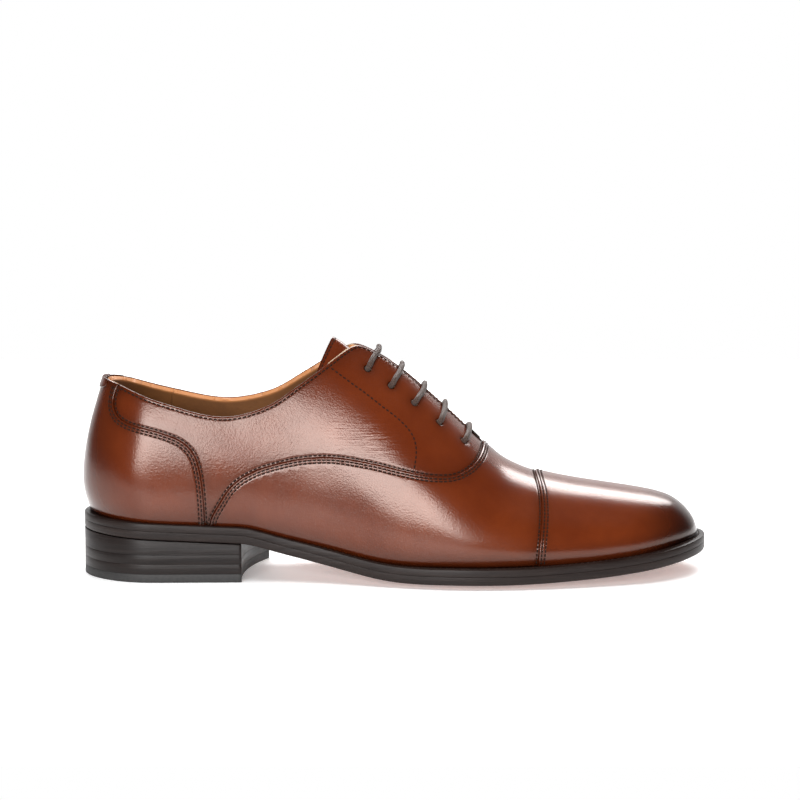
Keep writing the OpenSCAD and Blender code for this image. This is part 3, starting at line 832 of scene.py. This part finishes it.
leather_panel("toe_cap_leather", inside(cap_field, 0), cap_height, ["toe_cap"])
leather_panel("vamp_leather", lambda uv: (vamp_field(uv) > 0) & (cap_field(uv) < TUCKED),
              vamp_height, ["vamp"])
for side, label in ((-1, "lateral"), (1, "medial")):
    def on_quarter(uv, side=side):
        return ((uv[:, 1] * side > 0) & (vamp_field(uv) < TUCKED) & (cover_field(uv) < TUCKED)
                & (top_field(uv) > 0) & (eyelet_field(uv) > 0))
    leather_panel(f"quarter_leather_{label}", on_quarter, quarter_height, [f"quarter_{label}"])
leather_panel("counter_cover_leather", lambda uv: (cover_field(uv) > 0) & (top_field(uv) > 0),
              cover_height, ["heel_counter_cover"])


# ---------------------------------------------------------------- stitches
STITCH_RINGS = np.array([-1.0, -0.93, -0.7, -0.3, 0.3, 0.7, 0.93, 1.0])
STITCH_SIDES = 8
THREAD_R = 0.36


def stitch_mesh(name, centres, ways, normals, length, material, body=BODY, radius=THREAD_R):
    """One mesh of short threads lying along their ways, ends dipping into the leather."""
    u = STITCH_RINGS
    girth = np.sqrt(np.clip(1 - u ** 6, 0, 1)) * (1 - 0.25 * u ** 2)
    girth[[0, -1]] = 0.05
    turn = np.arange(STITCH_SIDES) * 2 * np.pi / STITCH_SIDES
    sides = np.cross(normals, ways)
    sides /= np.linalg.norm(sides, axis=1, keepdims=True)
    along = (u * length / 2)[None, :, None, None] * ways[:, None, None, :]
    dip = (-0.45 * radius * u ** 4)[None, :, None, None] * normals[:, None, None, :]
    ring = (np.cos(turn)[None, None, :, None] * sides[:, None, None, :]
            + 0.8 * np.sin(turn)[None, None, :, None] * normals[:, None, None, :])
    points = centres[:, None, None, :] + along + dip + ring * (girth * radius)[None, :, None, None]
    per = len(u) * STITCH_SIDES
    template = [[i * STITCH_SIDES + k, i * STITCH_SIDES + (k + 1) % STITCH_SIDES,
                 (i + 1) * STITCH_SIDES + (k + 1) % STITCH_SIDES, (i + 1) * STITCH_SIDES + k]
                for i in range(len(u) - 1) for k in range(STITCH_SIDES)]
    template += [list(range(STITCH_SIDES))[::-1], [per - STITCH_SIDES + k for k in range(STITCH_SIDES)]]
    faces = [[n * per + k for k in face] for n in range(len(centres)) for face in template]
    piece = make_object(name, points.reshape(-1, 3), faces, material)
    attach(piece, body)
    return piece


def even_stitches(points, normals, pitch):
    """Centres, ways and normals of stitches evenly spaced along a line of points."""
    run = np.concatenate([[0], np.cumsum(np.linalg.norm(np.diff(points, axis=0), axis=1))])
    count = max(1, int(run[-1] / pitch))
    at = (np.arange(count) + 0.5) * run[-1] / count

    def pick(values, s):
        return np.stack([np.interp(s, run, values[:, k]) for k in range(3)], axis=-1)
    centre = pick(points, at)
    way = pick(points, at + 0.3) - pick(points, at - 0.3)
    way /= np.linalg.norm(way, axis=1, keepdims=True)
    normal = pick(normals, at)
    normal -= way * np.sum(way * normal, axis=1, keepdims=True)
    normal /= np.linalg.norm(normal, axis=1, keepdims=True)
    return centre, way, normal


def skin_line(path, height):
    height = np.broadcast_to(height, len(path)) + ripples(path[:, 0], path[:, 1])
    normals = skin_normal(path[:, 0], path[:, 1])
    return skin(path[:, 0], path[:, 1]) + normals * height[:, None], normals


def row_beside(path, field, distance):
    """The path moved to a signed distance from its seam, positive inside the field."""
    line = shifted(path, abs(distance))
    middle = line[len(line) // 3: len(line) // 3 + 5]
    if (np.median(field(middle)) > 0) != (distance > 0):
        line = shifted(path, -abs(distance))
    return line


def sew(name, lines, pitch=2.25, length=1.85, radius=THREAD_R):
    """Stitches along several lines of points on the skin, as one piece of the shoe."""
    rows = [even_stitches(points, normals, pitch) for points, normals in lines]
    centres, ways, normals = (np.concatenate(parts) for parts in zip(*rows))
    return stitch_mesh(name, centres, ways, normals, length, THREAD, radius=radius)


def above_welt(path):
    """The part of a path that lies clear of the welt."""
    return path[skin(path[:, 0], path[:, 1])[:, 2] > feather_z(path[:, 0]) + 0.6]


sew("vamp_seam_stitches", [
    skin_line(above_welt(row_beside(vamp_path, vamp_field, d)), h)
    for d, h in ((-ROWS[0] + 0.25, 0.0), (ROWS[0], VAMP_H), (ROWS[1], VAMP_H))])
sew("cap_seam_stitches", [
    skin_line(above_welt(row_beside(cap_path, cap_field, d)), h)
    for d, h in ((-ROWS[0] + 0.25, VAMP_H), (ROWS[0], CAP_H), (ROWS[1] + 0.3, CAP_H))], 1.9, 1.55)
cover_rows = []
for side in (-1, 1):
    for d, h in ((-ROWS[0] + 0.25, 0.0), (ROWS[0], COVER_H), (ROWS[1], COVER_H)):
        line = above_welt(row_beside(cover_paths[side], cover_fields[side], d))
        cover_rows.append(skin_line(line[top_field(line) > 1.4], h))
sew("counter_cover_stitches", cover_rows, 2.2, 1.7)

top_rows = []
for side in (-1, 1):
    line = row_beside(top_paths[side], top_fields[side], 1.6)
    line = line[(cover_field(line) < -1.4) & (vamp_field(line) < -1.0)]
    top_rows.append(skin_line(line, QUARTER_H))
    line = seam_on_side(FACING_ROW, side)
    line = line[(top_field(line) > 2.4) & (vamp_field(line) < -1.6)]
    top_rows.append(skin_line(line, QUARTER_H))
sew("topline_stitches", top_rows, 2.3, 1.75, 0.36)


# ---------------------------------------------------------------- lofted solids
def ring_loft(rings, closed_path=False, caps=True):
    """Points and faces of a loft through rings of equal length."""
    count, size = len(rings), len(rings[0])
    points = np.concatenate([np.asarray(r, float) for r in rings])
    spans = range(count if closed_path else count - 1)
    faces = [[i * size + k, i * size + (k + 1) % size, (i + 1) % count * size + (k + 1) % size,
              (i + 1) % count * size + k] for i in spans for k in range(size)]
    if caps and not closed_path:
        faces.append(list(range(size))[::-1])
        faces.append([(count - 1) * size + k for k in range(size)])
    return points, faces


def outward(piece):
    """Makes all the faces of a closed mesh point outward."""
    work = bmesh.new()
    work.from_mesh(piece.data)
    bmesh.ops.recalc_face_normals(work, faces=work.faces)
    work.to_mesh(piece.data)
    work.free()
    return piece


def creased(piece, degrees=40):
    """Smooth shading that stops at sharp corners."""
    mesh = piece.data
    work = bmesh.new()
    work.from_mesh(mesh)
    limit = math.radians(degrees)
    for edge in work.edges:
        if len(edge.link_faces) == 2 and edge.calc_face_angle(0) > limit:
            edge.smooth = False
    work.to_mesh(mesh)
    work.free()
    return piece


def solid_piece(name, rings, material, nodes, body=BODY, closed_path=False):
    points, faces = ring_loft(rings, closed_path)
    piece = creased(outward(make_object(name, points, faces, material)))
    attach(piece, body)
    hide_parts(*nodes)
    return piece


# ---------------------------------------------------------------- sole
def sole_point(x, f, inset):
    side = np.where(np.asarray(f) < 0, -1.0, 1.0)
    ends = round_end(x, HEEL_CLOSE) * round_end(SOLE_LENGTH - x, TOE_CLOSE)
    half = (side_half(x, side) + sole_margin(x) - inset) * ends
    px = MID_X + (x - MID_X) * (1 - inset / MID_X)
    return px, axis_line(x) + f * np.maximum(0.02, half)


def sole_section(x, profile):
    """Ring of [f, inset, height] stations across the sole at x."""
    ring = []
    for f, inset, h in profile:
        px, py = sole_point(x, f, inset)
        ring.append((px, py, sole_bottom_eased(px) + tread_crown(px) * f * f + h))
    return ring


def even_rows(count, low, high):
    return low + (high - low) * (1 - np.cos(np.pi * np.linspace(0, 1, count + 1))) / 2


TREAD_SPACING = [f / 10 for f in range(-9, 10)]
TREAD_LIFT = 0.35
# Edge of the outsole from the tread up, as [inset, height]
OUTSOLE_EDGE = [(0.5, 0.45), (0.15, 0.8), (0, 1.3), (0, 4.2), (0.03, 4.38), (0.15, 4.49)]
outsole_profile = ([(f, 1.2, TREAD_LIFT) for f in (-1, *TREAD_SPACING, 1)]
                   + [(1, inset, h) for inset, h in OUTSOLE_EDGE]
                   + [(f, 1.2, OUTSOLE_T) for f in (1, *TREAD_SPACING[::-1], -1)]
                   + [(-1, inset, h) for inset, h in OUTSOLE_EDGE[::-1]])
solid_piece("outsole_leather", [sole_section(x, outsole_profile) for x in even_rows(220, 0.0, SOLE_LENGTH)],
            SOLE_EDGE, ["outsole"])
tread_profile = ([(f, 2.6, 0.02) for f in (-1, *TREAD_SPACING, 1)] + [(1, 2.3, 0.2)]
                 + [(f, 2.4, 0.5) for f in (1, *TREAD_SPACING[::-1], -1)] + [(-1, 2.3, 0.2)])
solid_piece("outsole_tread", [sole_section(x, tread_profile) for x in even_rows(160, 86.0, SOLE_LENGTH)],
            TREAD, ["outsole"])


def round_sole_end(p, x_side, x_end, inset, h):
    """Point h above the tread's edge, at a share p of the way round one end of the sole."""
    x = x_end + (x_side - x_end) * (1 - math.cos(math.pi / 2 * abs(p)))
    px, py = sole_point(x, -1.0 if p < 0 else 1.0, inset)
    return px, py, sole_bottom_eased(px) + tread_crown(px) + h


def edge_band(name, x_side, x_end, profile, nodes):
    """Strip round one end of the sole, its section given as [inset, height] stations."""
    rings = [[round_sole_end(p, x_side, x_end, inset, h) for inset, h in profile]
             for p in np.linspace(-1, 1, 281)]
    return solid_piece(name, rings, SOLE_EDGE, nodes)


WELT_TOP = OUTSOLE_T + WELT_T
welt_profile = [(0.15, OUTSOLE_T + 0.01), (0.03, OUTSOLE_T + 0.12), (0, OUTSOLE_T + 0.3), (0, WELT_TOP - 0.9),
                (0.2, WELT_TOP - 0.35), (0.8, WELT_TOP - 0.05), (1.6, WELT_TOP + 0.02), (3.6, WELT_TOP - 0.1),
                (5.0, WELT_TOP - 0.4), (9.5, WELT_TOP - 0.7), (9.5, OUTSOLE_T + 0.02)]
edge_band("welt_strip", 60, SOLE_LENGTH, welt_profile, ["welt"])
edge_band("heel_rand_strip", 60, 0, welt_profile, ["heel_rand"])


def welt_line(inset, h):
    points = [round_sole_end(p, 64, SOLE_LENGTH, inset, h) for p in np.linspace(-1, 1, 600)]
    return np.array(points), np.tile([0.0, 0.0, 1.0], (600, 1))


sew("welt_stitches", [welt_line(2.7, WELT_TOP - 0.02)], 3.0, 2.3, 0.32)


# ---------------------------------------------------------------- heel
def breast(f):
    return 77 + 5.5 * (f + 1) - 4 * (1 - f * f)


def heel_outline(inset):
    """Heel seen from above, anticlockwise from the back, with softened breast corners."""
    right, left = ([sole_point(breast(side) * (1 - math.cos(math.pi / 2 * s)), side, 0)
                    for s in np.linspace(0, 1, 60)] for side in (1.0, -1.0))
    front = []
    for f in np.linspace(0.97, -0.97, 40):
        x = breast(f)
        edge = sole_point(breast(math.copysign(1.0, f)), math.copysign(1.0, f), 0)[1]
        front.append((x, axis_line(x) * (1 - abs(f)) + edge * abs(f)))
    loop = np.array([(float(a), float(b)) for a, b in right + front + left[:0:-1]])
    loop = resampled(np.concatenate([loop, loop[:1]]), 0.9)[:-1]
    way = np.roll(loop, -1, axis=0) - np.roll(loop, 1, axis=0)
    way /= np.linalg.norm(way, axis=1, keepdims=True)
    inward = np.stack([way[:, 1], -way[:, 0]], axis=1)
    centre = loop.mean(axis=0)
    if np.mean(np.sum(inward * (centre - loop), axis=1)) < 0:
        inward = -inward
    return loop + inward * inset


def heel_layer(name, low, high, material, nodes, edge=0.14):
    """One lift: slightly rounded top and bottom edges, so each joint shows as a fine line."""
    levels = [(low, edge * 1.6), (low + edge * 0.5, edge * 0.5), (low + edge * 1.5, 0),
              (high - edge * 1.5, 0), (high - edge * 0.5, edge * 0.5), (high, edge * 1.6)]
    rings = []
    for z, inset in levels:
        outline = heel_outline(inset)
        rings.append([(x, y, z(x) if callable(z) else z) for x, y in outline])
    return solid_piece(name, rings, material, nodes)


def seat_height(x):
    return float(sole_bottom_eased(x)) + 0.1


heel_layer("top_piece", 0, TOP_PIECE_T, RUBBER, ["heel_top_piece"], 0.2)
heel_layer("lift_lower", TOP_PIECE_T, TOP_PIECE_T + LIFT_T, HEEL_STACK, ["heel_lift_1"], 0.03)
heel_layer("lift_middle", TOP_PIECE_T + LIFT_T, TOP_PIECE_T + 2 * LIFT_T, HEEL_STACK,
           ["heel_lift_2"], 0.03)
lift_low = TOP_PIECE_T + 2 * LIFT_T
wedge_rings = []
for part, inset in ((0, 0.15), (0.02, 0), (0.96, 0), (1, 0.15)):
    outline = heel_outline(inset)
    wedge_rings.append([(x, y, lift_low + (seat_height(x) - lift_low) * part) for x, y in outline])
solid_piece("lift_upper", wedge_rings, HEEL_STACK, ["heel_lift_3"])

NAIL_PLACES = [(9, 0), (14, 15), (14, -15), (27, 23), (27, -23), (43, 24), (43, -24), (59, 23), (59, -23),
               (71, 12), (68, -10)]
nail_profile = [(0.05, 0.25), (0.6, 0.3), (0.95, 0.5), (1.08, 0.8), (1.08, 11.8), (0.05, 11.8)]
nail_points, nail_faces = [], []
for x, y in NAIL_PLACES:
    turns = np.linspace(0, 2 * np.pi, 20, endpoint=False)
    rings = [[(x + r * math.cos(t), y - 1 + r * math.sin(t), z) for t in turns] for r, z in nail_profile]
    points, faces = ring_loft(rings)
    nail_faces += [[k + len(nail_points) for k in f] for f in faces]
    nail_points += points.tolist()
nails = creased(outward(make_object("heel_nail_pins", nail_points, nail_faces, BRASS)))
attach(nails, BODY)
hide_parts("heel_nails")


# ---------------------------------------------------------------- linings
LINING_OUT, LINING_T = 1.35, 2.05
GRIP_X = 39.0
LINING_SEAM = [[128, 8], [128, 20], [140, 42], [156, 46], [180, 48], [192, 52], [199, 60], [199, 150]]
lining_curve = eased_path(LINING_SEAM, 0.5)


def ahead_of_lining_seam(uv):
    """True in front of the seam between the quarter linings and the vamp lining."""
    where = skin(uv[:, 0], uv[:, 1])
    return where[:, 0] > np.interp(where[:, 2], lining_curve[:, 1], lining_curve[:, 0])


def lining_panel(name, keep, nodes):
    sheet = skin_sheet.copy().keep(keep)
    uv = sheet.uv
    top = top_field(uv)
    height = -LINING_OUT - 0.5 * (1 - rounded(top, 1.0)) + 0.4 * ripples(uv[:, 0], uv[:, 1])
    piece = make_object(name, surface_points(uv, height), sheet.faces, LINING)
    add_mask(piece, "rim", 1 - smooth_step(1.2, 2.2, top))
    solidify(piece, LINING_T)
    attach(piece, BODY)
    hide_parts(*nodes)
    return piece


LINING_EDGE = 0.05
for side, label in ((-1, "lateral"), (1, "medial")):
    def on_quarter_lining(uv, side=side):
        return ((uv[:, 1] * side > 0) & (top_field(uv) > LINING_EDGE) & (eyelet_field(uv) > 0)
                & (uv[:, 0] > GRIP_X) & ~ahead_of_lining_seam(uv))
    lining_panel(f"quarter_lining_{label}_leather", on_quarter_lining, [f"quarter_lining_{label}"])
lining_panel("heel_grip_leather", lambda uv: (top_field(uv) > LINING_EDGE) & (uv[:, 0] <= GRIP_X),
             ["heel_grip_lining"])
lining_panel("vamp_lining_leather",
             lambda uv: ahead_of_lining_seam(uv) & (top_field(uv) > -5), ["vamp_lining"])


def inner_rows(o, lift):
    """Rows of points across the bottom inside the last, cupped a little at the sides."""
    rows = []
    for x in even_rows(120, 1.0, TIP_X - 1.0):
        a = skin(x, -1.0, o)
        b = skin(x, 1.0, o)
        row = []
        for f in np.linspace(0, 1, 49):
            p = a * (1 - f) + b * f
            cup = 1.6 * abs(2 * f - 1) ** 7
            row.append((p[0], p[1], float(feather_z(p[0])) + lift + cup))
        rows.append(row)
    return np.array(rows)


sock_grid = inner_rows(-3.95, 3.5)
rows, columns = sock_grid.shape[:2]
sock_faces = [[i * columns + j, (i + 1) * columns + j, (i + 1) * columns + j + 1, i * columns + j + 1]
              for i in range(rows - 1) for j in range(columns - 1)]
sock = make_object("sock_leather", sock_grid.reshape(-1, 3), sock_faces, LINING)
add_mask(sock, "rim", np.zeros(rows * columns))
solidify(sock, 1.1, -1.0)
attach(sock, BODY)
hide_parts("sock_liner")

# ---------------------------------------------------------------- tongue
TONGUE_BACK, TONGUE_FOOT, TONGUE_ARCH = 118.2, 199.0, 11.0


def tongue_end(f):
    """Where the tongue's arched free end lies, by share of its half width."""
    return TONGUE_BACK - TONGUE_ARCH * abs(f) ** 1.5


def tongue_point(x, f, d=0.0):
    """Point of the tongue at x and a share f of its half width, d below its face."""
    x, f = np.broadcast_arrays(np.asarray(x, float), np.asarray(f, float))
    y = f * tongue_half(x)
    o = tongue_depth(x) - d
    side = np.where(y < 0, -1.0, 1.0)
    half = np.maximum(0.02, side_half(x, side) + o)
    cosine = np.clip(np.abs(y) / half, 0, 1) ** (1 / section_power(x))
    return skin(x, side * np.arccos(cosine) * -2 / np.pi + side, o)


def tongue_grid(rows, columns, d_of):
    grid = []
    for i in np.linspace(0, 1, rows + 1):
        row = []
        for f in np.linspace(-1, 1, columns + 1):
            x = tongue_end(f) * (1 - i) + TONGUE_FOOT * i
            gap = min(i * 70, (1 - abs(f)) * float(tongue_half(x)))
            row.append(tongue_point(x, f, d_of(gap)))
        grid.append(row)
    return np.array(grid)


def tongue_layer(name, outer_of, inner_of, material, node):
    rows, columns = 90, 48
    top, bottom = tongue_grid(rows, columns, outer_of), tongue_grid(rows, columns, inner_of)
    n, m = rows + 1, columns + 1
    points = np.concatenate([top.reshape(-1, 3), bottom.reshape(-1, 3)])
    faces = []
    for i in range(rows):
        for j in range(columns):
            quad = [i * m + j, i * m + j + 1, (i + 1) * m + j + 1, (i + 1) * m + j]
            faces += [quad, [n * m + k for k in quad[::-1]]]
    rim = ([i * m for i in range(n)] + [rows * m + j for j in range(1, m)]
           + [i * m + columns for i in range(rows - 1, -1, -1)] + list(range(columns - 1, 0, -1)))
    faces += [[a, b, b + n * m, a + n * m] for a, b in zip(rim, rim[1:] + rim[:1])]
    piece = creased(outward(make_object(name, points, faces, material)), 60)
    gaps = []
    for i in np.linspace(0, 1, n):
        for f in np.linspace(-1, 1, m):
            gaps.append(min(i * 70, (1 - abs(f)) * 16))
    edge = 1 - smooth_step(0.4, 2.4, np.array(gaps + gaps))
    add_mask(piece, "burnish_and_shade", edge * 0.7)
    add_mask(piece, "rim", edge)
    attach(piece, TONGUE)
    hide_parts(node)
    return piece


def tongue_round(gap, radius=0.9):
    f = min(1, gap / radius)
    return 1 - math.sqrt(1 - (1 - f) ** 2) if f < 1 else 0.0


tongue_layer("tongue_leather", lambda g: 0.7 * tongue_round(g) + 0.15 * math.exp(-((g - 1.9) / 0.35) ** 2),
             lambda g: 1.35, CALF, "tongue")
tongue_layer("tongue_back_leather", lambda g: 1.36, lambda g: 2.4 - 0.6 * tongue_round(g), LINING,
             "tongue_lining")


def tongue_seam():
    points, normals = [], []
    for f in np.linspace(-0.93, 0.93, 200):
        x = tongue_end(f) + 1.9
        points.append(tongue_point(x, f, 0.1))
        normals.append(tongue_point(x, f, -1) - tongue_point(x, f, 1))
    normals = np.array(normals)
    return np.array(points), normals / np.linalg.norm(normals, axis=1, keepdims=True)


points, normals = tongue_seam()
centres, ways, ups = even_stitches(points, normals, 2.1)
stitch_mesh("tongue_edge_stitches", centres, ways, ups, 1.6, THREAD, TONGUE, 0.34)


# ---------------------------------------------------------------- lace
def lace_point(x, y, d):
    """Point at a height d over the skin, y from the ridge."""
    spot = from_plan(x, y)
    x, a = spot[..., 0], spot[..., 1]
    return skin(x, a) + skin_normal(x, a) * np.asarray(d)[..., None]


def lace_bar(k, side):
    """Stations of one bar, up through eyelet k of a side, over the throat and down the other."""
    x, y = EYELETS[k]
    lean = LACE_LEAN[k]
    up = [(0, -y, LACE_UNDER), (0, -y, -1.6), (0.1 * lean, -y + 0.5, 0.9),
          (0.3 * lean, -y + 2.6, LACE_OVER + 0.05), (0.65 * lean, -y + 6.0, LACE_OVER),
          (0.95 * lean, -4.5, LACE_OVER)]
    stations = up + [(lean, 0, LACE_OVER - 0.3)] + [(dx, -p, d) for dx, p, d in up[::-1]]
    return [(x + dx, -side * p, d) for dx, p, d in stations]


lace_route = ([(177, -7, LACE_UNDER - 0.4), (170, -7.4, LACE_UNDER), (163, -7.8, LACE_UNDER),
               (156, -8.4, LACE_UNDER), (151, -10, LACE_UNDER)] + lace_bar(3, -1)
              + [(149.5, 11, LACE_UNDER), (155, INNER_RUN, LACE_UNDER), (163, INNER_RUN, LACE_UNDER),
                 (168.5, 11, LACE_UNDER)] + lace_bar(1, 1)
              + [(176.5, -14.5, LACE_UNDER)] + lace_bar(0, -1)
              + [(179.5, 13.4, LACE_UNDER), (171, OUTER_RUN, LACE_UNDER), (163, 13.4, LACE_UNDER)]
              + lace_bar(2, 1)
              + [(156.5, -18.6, LACE_UNDER), (148.2, -19.4, LACE_UNDER), (140.5, -17, LACE_UNDER)]
              + lace_bar(4, -1)
              + [(139.5, 16.8, LACE_UNDER), (145, 19.4, LACE_UNDER), (155, 20.6, LACE_UNDER),
                 (164, 20.8, LACE_UNDER - 0.2), (172, 20.6, LACE_UNDER - 1)])
stations = np.array([lace_point(*map(np.array, p)) for p in lace_route])
lace_centre = eased_path(stations, 0.45, 0.5)


def tube(name, centre, radius_of, sides, material, nodes):
    """Round cord along a line, with its length and turn kept as texture coordinates."""
    way = np.gradient(centre, axis=0)
    way /= np.linalg.norm(way, axis=1, keepdims=True)
    across = np.zeros_like(way)
    guide = np.cross(way[0], [0.2, 0.1, 1.0])
    for i, t in enumerate(way):
        guide = guide - t * np.dot(guide, t)
        guide /= np.linalg.norm(guide)
        across[i] = guide
    other = np.cross(way, across)
    turn = np.linspace(0, 2 * np.pi, sides, endpoint=False)
    run = np.concatenate([[0], np.cumsum(np.linalg.norm(np.diff(centre, axis=0), axis=1))])
    radius = np.array([radius_of(s, run[-1]) for s in run])
    rings = (centre[:, None, :] + radius[:, None, None] * (np.cos(turn)[None, :, None] * across[:, None, :]
                                                           + np.sin(turn)[None, :, None] * other[:, None, :]))
    points, faces = ring_loft(list(rings))
    piece = outward(make_object(name, points, faces, material))
    layer = piece.data.uv_layers.new(name="along")
    for polygon in piece.data.polygons:
        columns = [v % sides for v in polygon.vertices]
        wrap = max(columns) - min(columns) > sides / 2
        for loop, v in zip(polygon.loop_indices, polygon.vertices):
            column = v % sides
            column = column + sides if wrap and column == 0 else column
            layer.data[loop].uv = (run[v // sides], column / sides)
    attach(piece, BODY)
    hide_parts(*nodes)
    return piece


tube("lace_cord", lace_centre, lambda s, total: LACE_R, 16, LACE, ["lace"])
AGLET_LENGTH, AGLET_R, AGLET_NOSE = 15.0, 1.42, 1.2


def aglet_radius(s, total):
    """Full width, rounded off over the last stretch of the tip."""
    return AGLET_R * math.sqrt(max(0.02, 1 - max(0, 1 - (total - s) / AGLET_NOSE) ** 2))


for label, tip, before in (("lateral", stations[0], stations[1]), ("medial", stations[-1], stations[-2])):
    way = (tip - before) / np.linalg.norm(tip - before)
    line = tip + way * np.linspace(-0.5, AGLET_LENGTH, 40)[:, None]
    tube(f"aglet_{label}", line, aglet_radius, 20, TIP, [f"lace_aglet_{label}"])

# Bar of close stitches across the foot of the throat
tack_x = np.linspace(186.6, 190.2, 7)
tack = lace_point(tack_x, np.full(7, 0.0), np.full(7, 0.3))
tack_normals = skin_normal(tack_x, np.full(7, 0.001))
bartack = stitch_mesh("throat_tack", tack, np.tile([0.0, 1.0, 0.0], (7, 1)), tack_normals, 6.0, THREAD,
                      BODY, 0.5)
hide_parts("throat_bartack")

# ---------------------------------------------------------------- back tab
TAB = [[-12, 89.8], [10.5, 89.8], [12.4, 90.6], [13.2, 92], [13.2, 99], [-12, 99]]
tab_curve = eased_path(TAB[1:5], 0.3, 0.8)
tab_outline = np.concatenate([[[4.5, 89.8]], tab_curve])
tab_paths = np.concatenate([from_side_view(tab_outline, side)[::side] for side in (-1, 1)])
tab_field = SeamField(tab_paths, lambda uv, where: within(np.array(TAB), where[:, 0], where[:, 2]))


def tab_height(f):
    return COVER_H + 0.75 * rounded(f["tab"], 0.5) + 0.5 * (rounded(f["top"] + 0.6, 0.9) - 1)


tab_sheet = skin_sheet.copy().keep(lambda uv: (skin(uv[:, 0], uv[:, 1])[:, 2] > 80) & (uv[:, 0] < 26))
tab_sheet.cut(tab_field, [0, 0.2, 0.5])
tab_sheet.keep(lambda uv: (tab_field(uv) > 0) & (top_field(uv) > 0))
tab_uv = tab_sheet.uv
tab_parts = {"tab": tab_field(tab_uv), "top": top_field(tab_uv)}
tab = make_object("back_tab_leather", surface_points(tab_uv, tab_height(tab_parts)), tab_sheet.faces, CALF)
add_mask(tab, "burnish_and_shade", 0.35 + 0.4 * np.exp(-np.abs(tab_parts["tab"]) / 1.2))
solidify(tab, 0.9)
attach(tab, BODY)
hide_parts("back_tab")

# ---------------------------------------------------------------- inner pieces kept from the CAD
for node, material in (("toe_puff", BOARD), ("heel_counter_stiffener", BOARD), ("facing_stay_lateral", BOARD),
                       ("facing_stay_medial", BOARD), ("insole_board", BOARD), ("cork_filler", CORK),
                       ("shank", STEEL)):
    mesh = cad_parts[node].data
    mesh.materials.clear()
    mesh.materials.append(material)

# ---------------------------------------------------------------- stage, light and camera
FLOOR_SIDE, FLOOR_FRONT, FLOOR_BACK = 0.9, 0.36, 0.7
WHITE = (0.93, 0.93, 0.93)


def make_floor():
    mesh = bpy.data.meshes.new("studio_floor")
    side, front, back = FLOOR_SIDE, FLOOR_FRONT, FLOOR_BACK
    corners = [(-side, -front, 0), (side, -front, 0), (side, back, 0), (-side, back, 0)]
    mesh.from_pydata(corners, [], [(0, 1, 2, 3)])
    material, tree, shader = new_material("studio_white")
    shader.inputs["Base Color"].default_value = (*WHITE, 1)
    shader.inputs["Roughness"].default_value = 0.5
    shader.inputs["Emission Color"].default_value = (1, 1, 1, 1)
    shader.inputs["Emission Strength"].default_value = 0.25
    mesh.materials.append(material)
    floor = bpy.data.objects.new("studio_floor", mesh)
    bpy.context.scene.collection.objects.link(floor)


def area_light(name, at, to, size, power, colour=(1, 1, 1)):
    lamp = bpy.data.lights.new(name, "AREA")
    lamp.shape = "RECTANGLE"
    lamp.size, lamp.size_y = size
    lamp.energy = power
    lamp.color = colour
    holder = bpy.data.objects.new(name, lamp)
    holder.location = at
    holder.rotation_euler = (Vector(to) - Vector(at)).to_track_quat("-Z", "Y").to_euler()
    bpy.context.scene.collection.objects.link(holder)
    return holder


def make_world():
    """White behind the shoe and dim in front of it, as in a studio behind the camera."""
    world = bpy.data.worlds.new("studio")
    world.use_nodes = True
    tree = world.node_tree
    split = tree.nodes.new("ShaderNodeSeparateXYZ")
    link(tree, tree.nodes.new("ShaderNodeTexCoord").outputs["Generated"], split.inputs[0])
    fade = tree.nodes.new("ShaderNodeMapRange")
    fade.interpolation_type = "SMOOTHSTEP"
    fade.inputs["From Min"].default_value = 0.45
    fade.inputs["From Max"].default_value = 0.85
    link(tree, split.outputs["Y"], fade.inputs["Value"])
    colour = mix(tree, fade.outputs[0], (0.05, 0.05, 0.055), (1.0, 1.0, 1.0))
    seen = tree.nodes.new("ShaderNodeLightPath").outputs["Is Camera Ray"]
    colour = mix(tree, seen, colour, (1.0, 1.0, 1.0))
    link(tree, colour, tree.nodes["Background"].inputs["Color"])
    bpy.context.scene.world = world


CAMERA_DISTANCE = 1.6
CAMERA_ELEVATION = 9.0
MM_ACROSS_FRAME = 384.9
TARGET = (0.0023, 0.0, 0.0830)


def make_camera():
    camera = bpy.data.cameras.new("camera")
    camera.sensor_width = 36
    camera.lens = 36 * CAMERA_DISTANCE * 1000 / MM_ACROSS_FRAME
    camera.clip_start, camera.clip_end = 0.05, 20
    holder = bpy.data.objects.new("camera", camera)
    rise = math.radians(CAMERA_ELEVATION)
    holder.location = Vector(TARGET) + CAMERA_DISTANCE * Vector((0, -math.cos(rise), math.sin(rise)))
    holder.rotation_euler = (Vector(TARGET) - holder.location).to_track_quat("-Z", "Y").to_euler()
    bpy.context.scene.collection.objects.link(holder)
    bpy.context.scene.camera = holder


make_floor()
make_world()
area_light("front_soft", (-0.59, -2.2, 0.68), (0, 0, 0.06), (1.26, 0.92), 48)
area_light("back_soft", (0.15, 1.0, 0.95), (0.05, 0.0, 0.03), (1.3, 0.5), 20)
top_fill = area_light("top_fill", (0.1, -0.25, 1.6), (0.0, 0.0, 0.0), (1.5, 1.2), 27)
top_fill.visible_glossy = False
make_camera()
scene = bpy.context.scene
scene.view_settings.view_transform = "Standard"
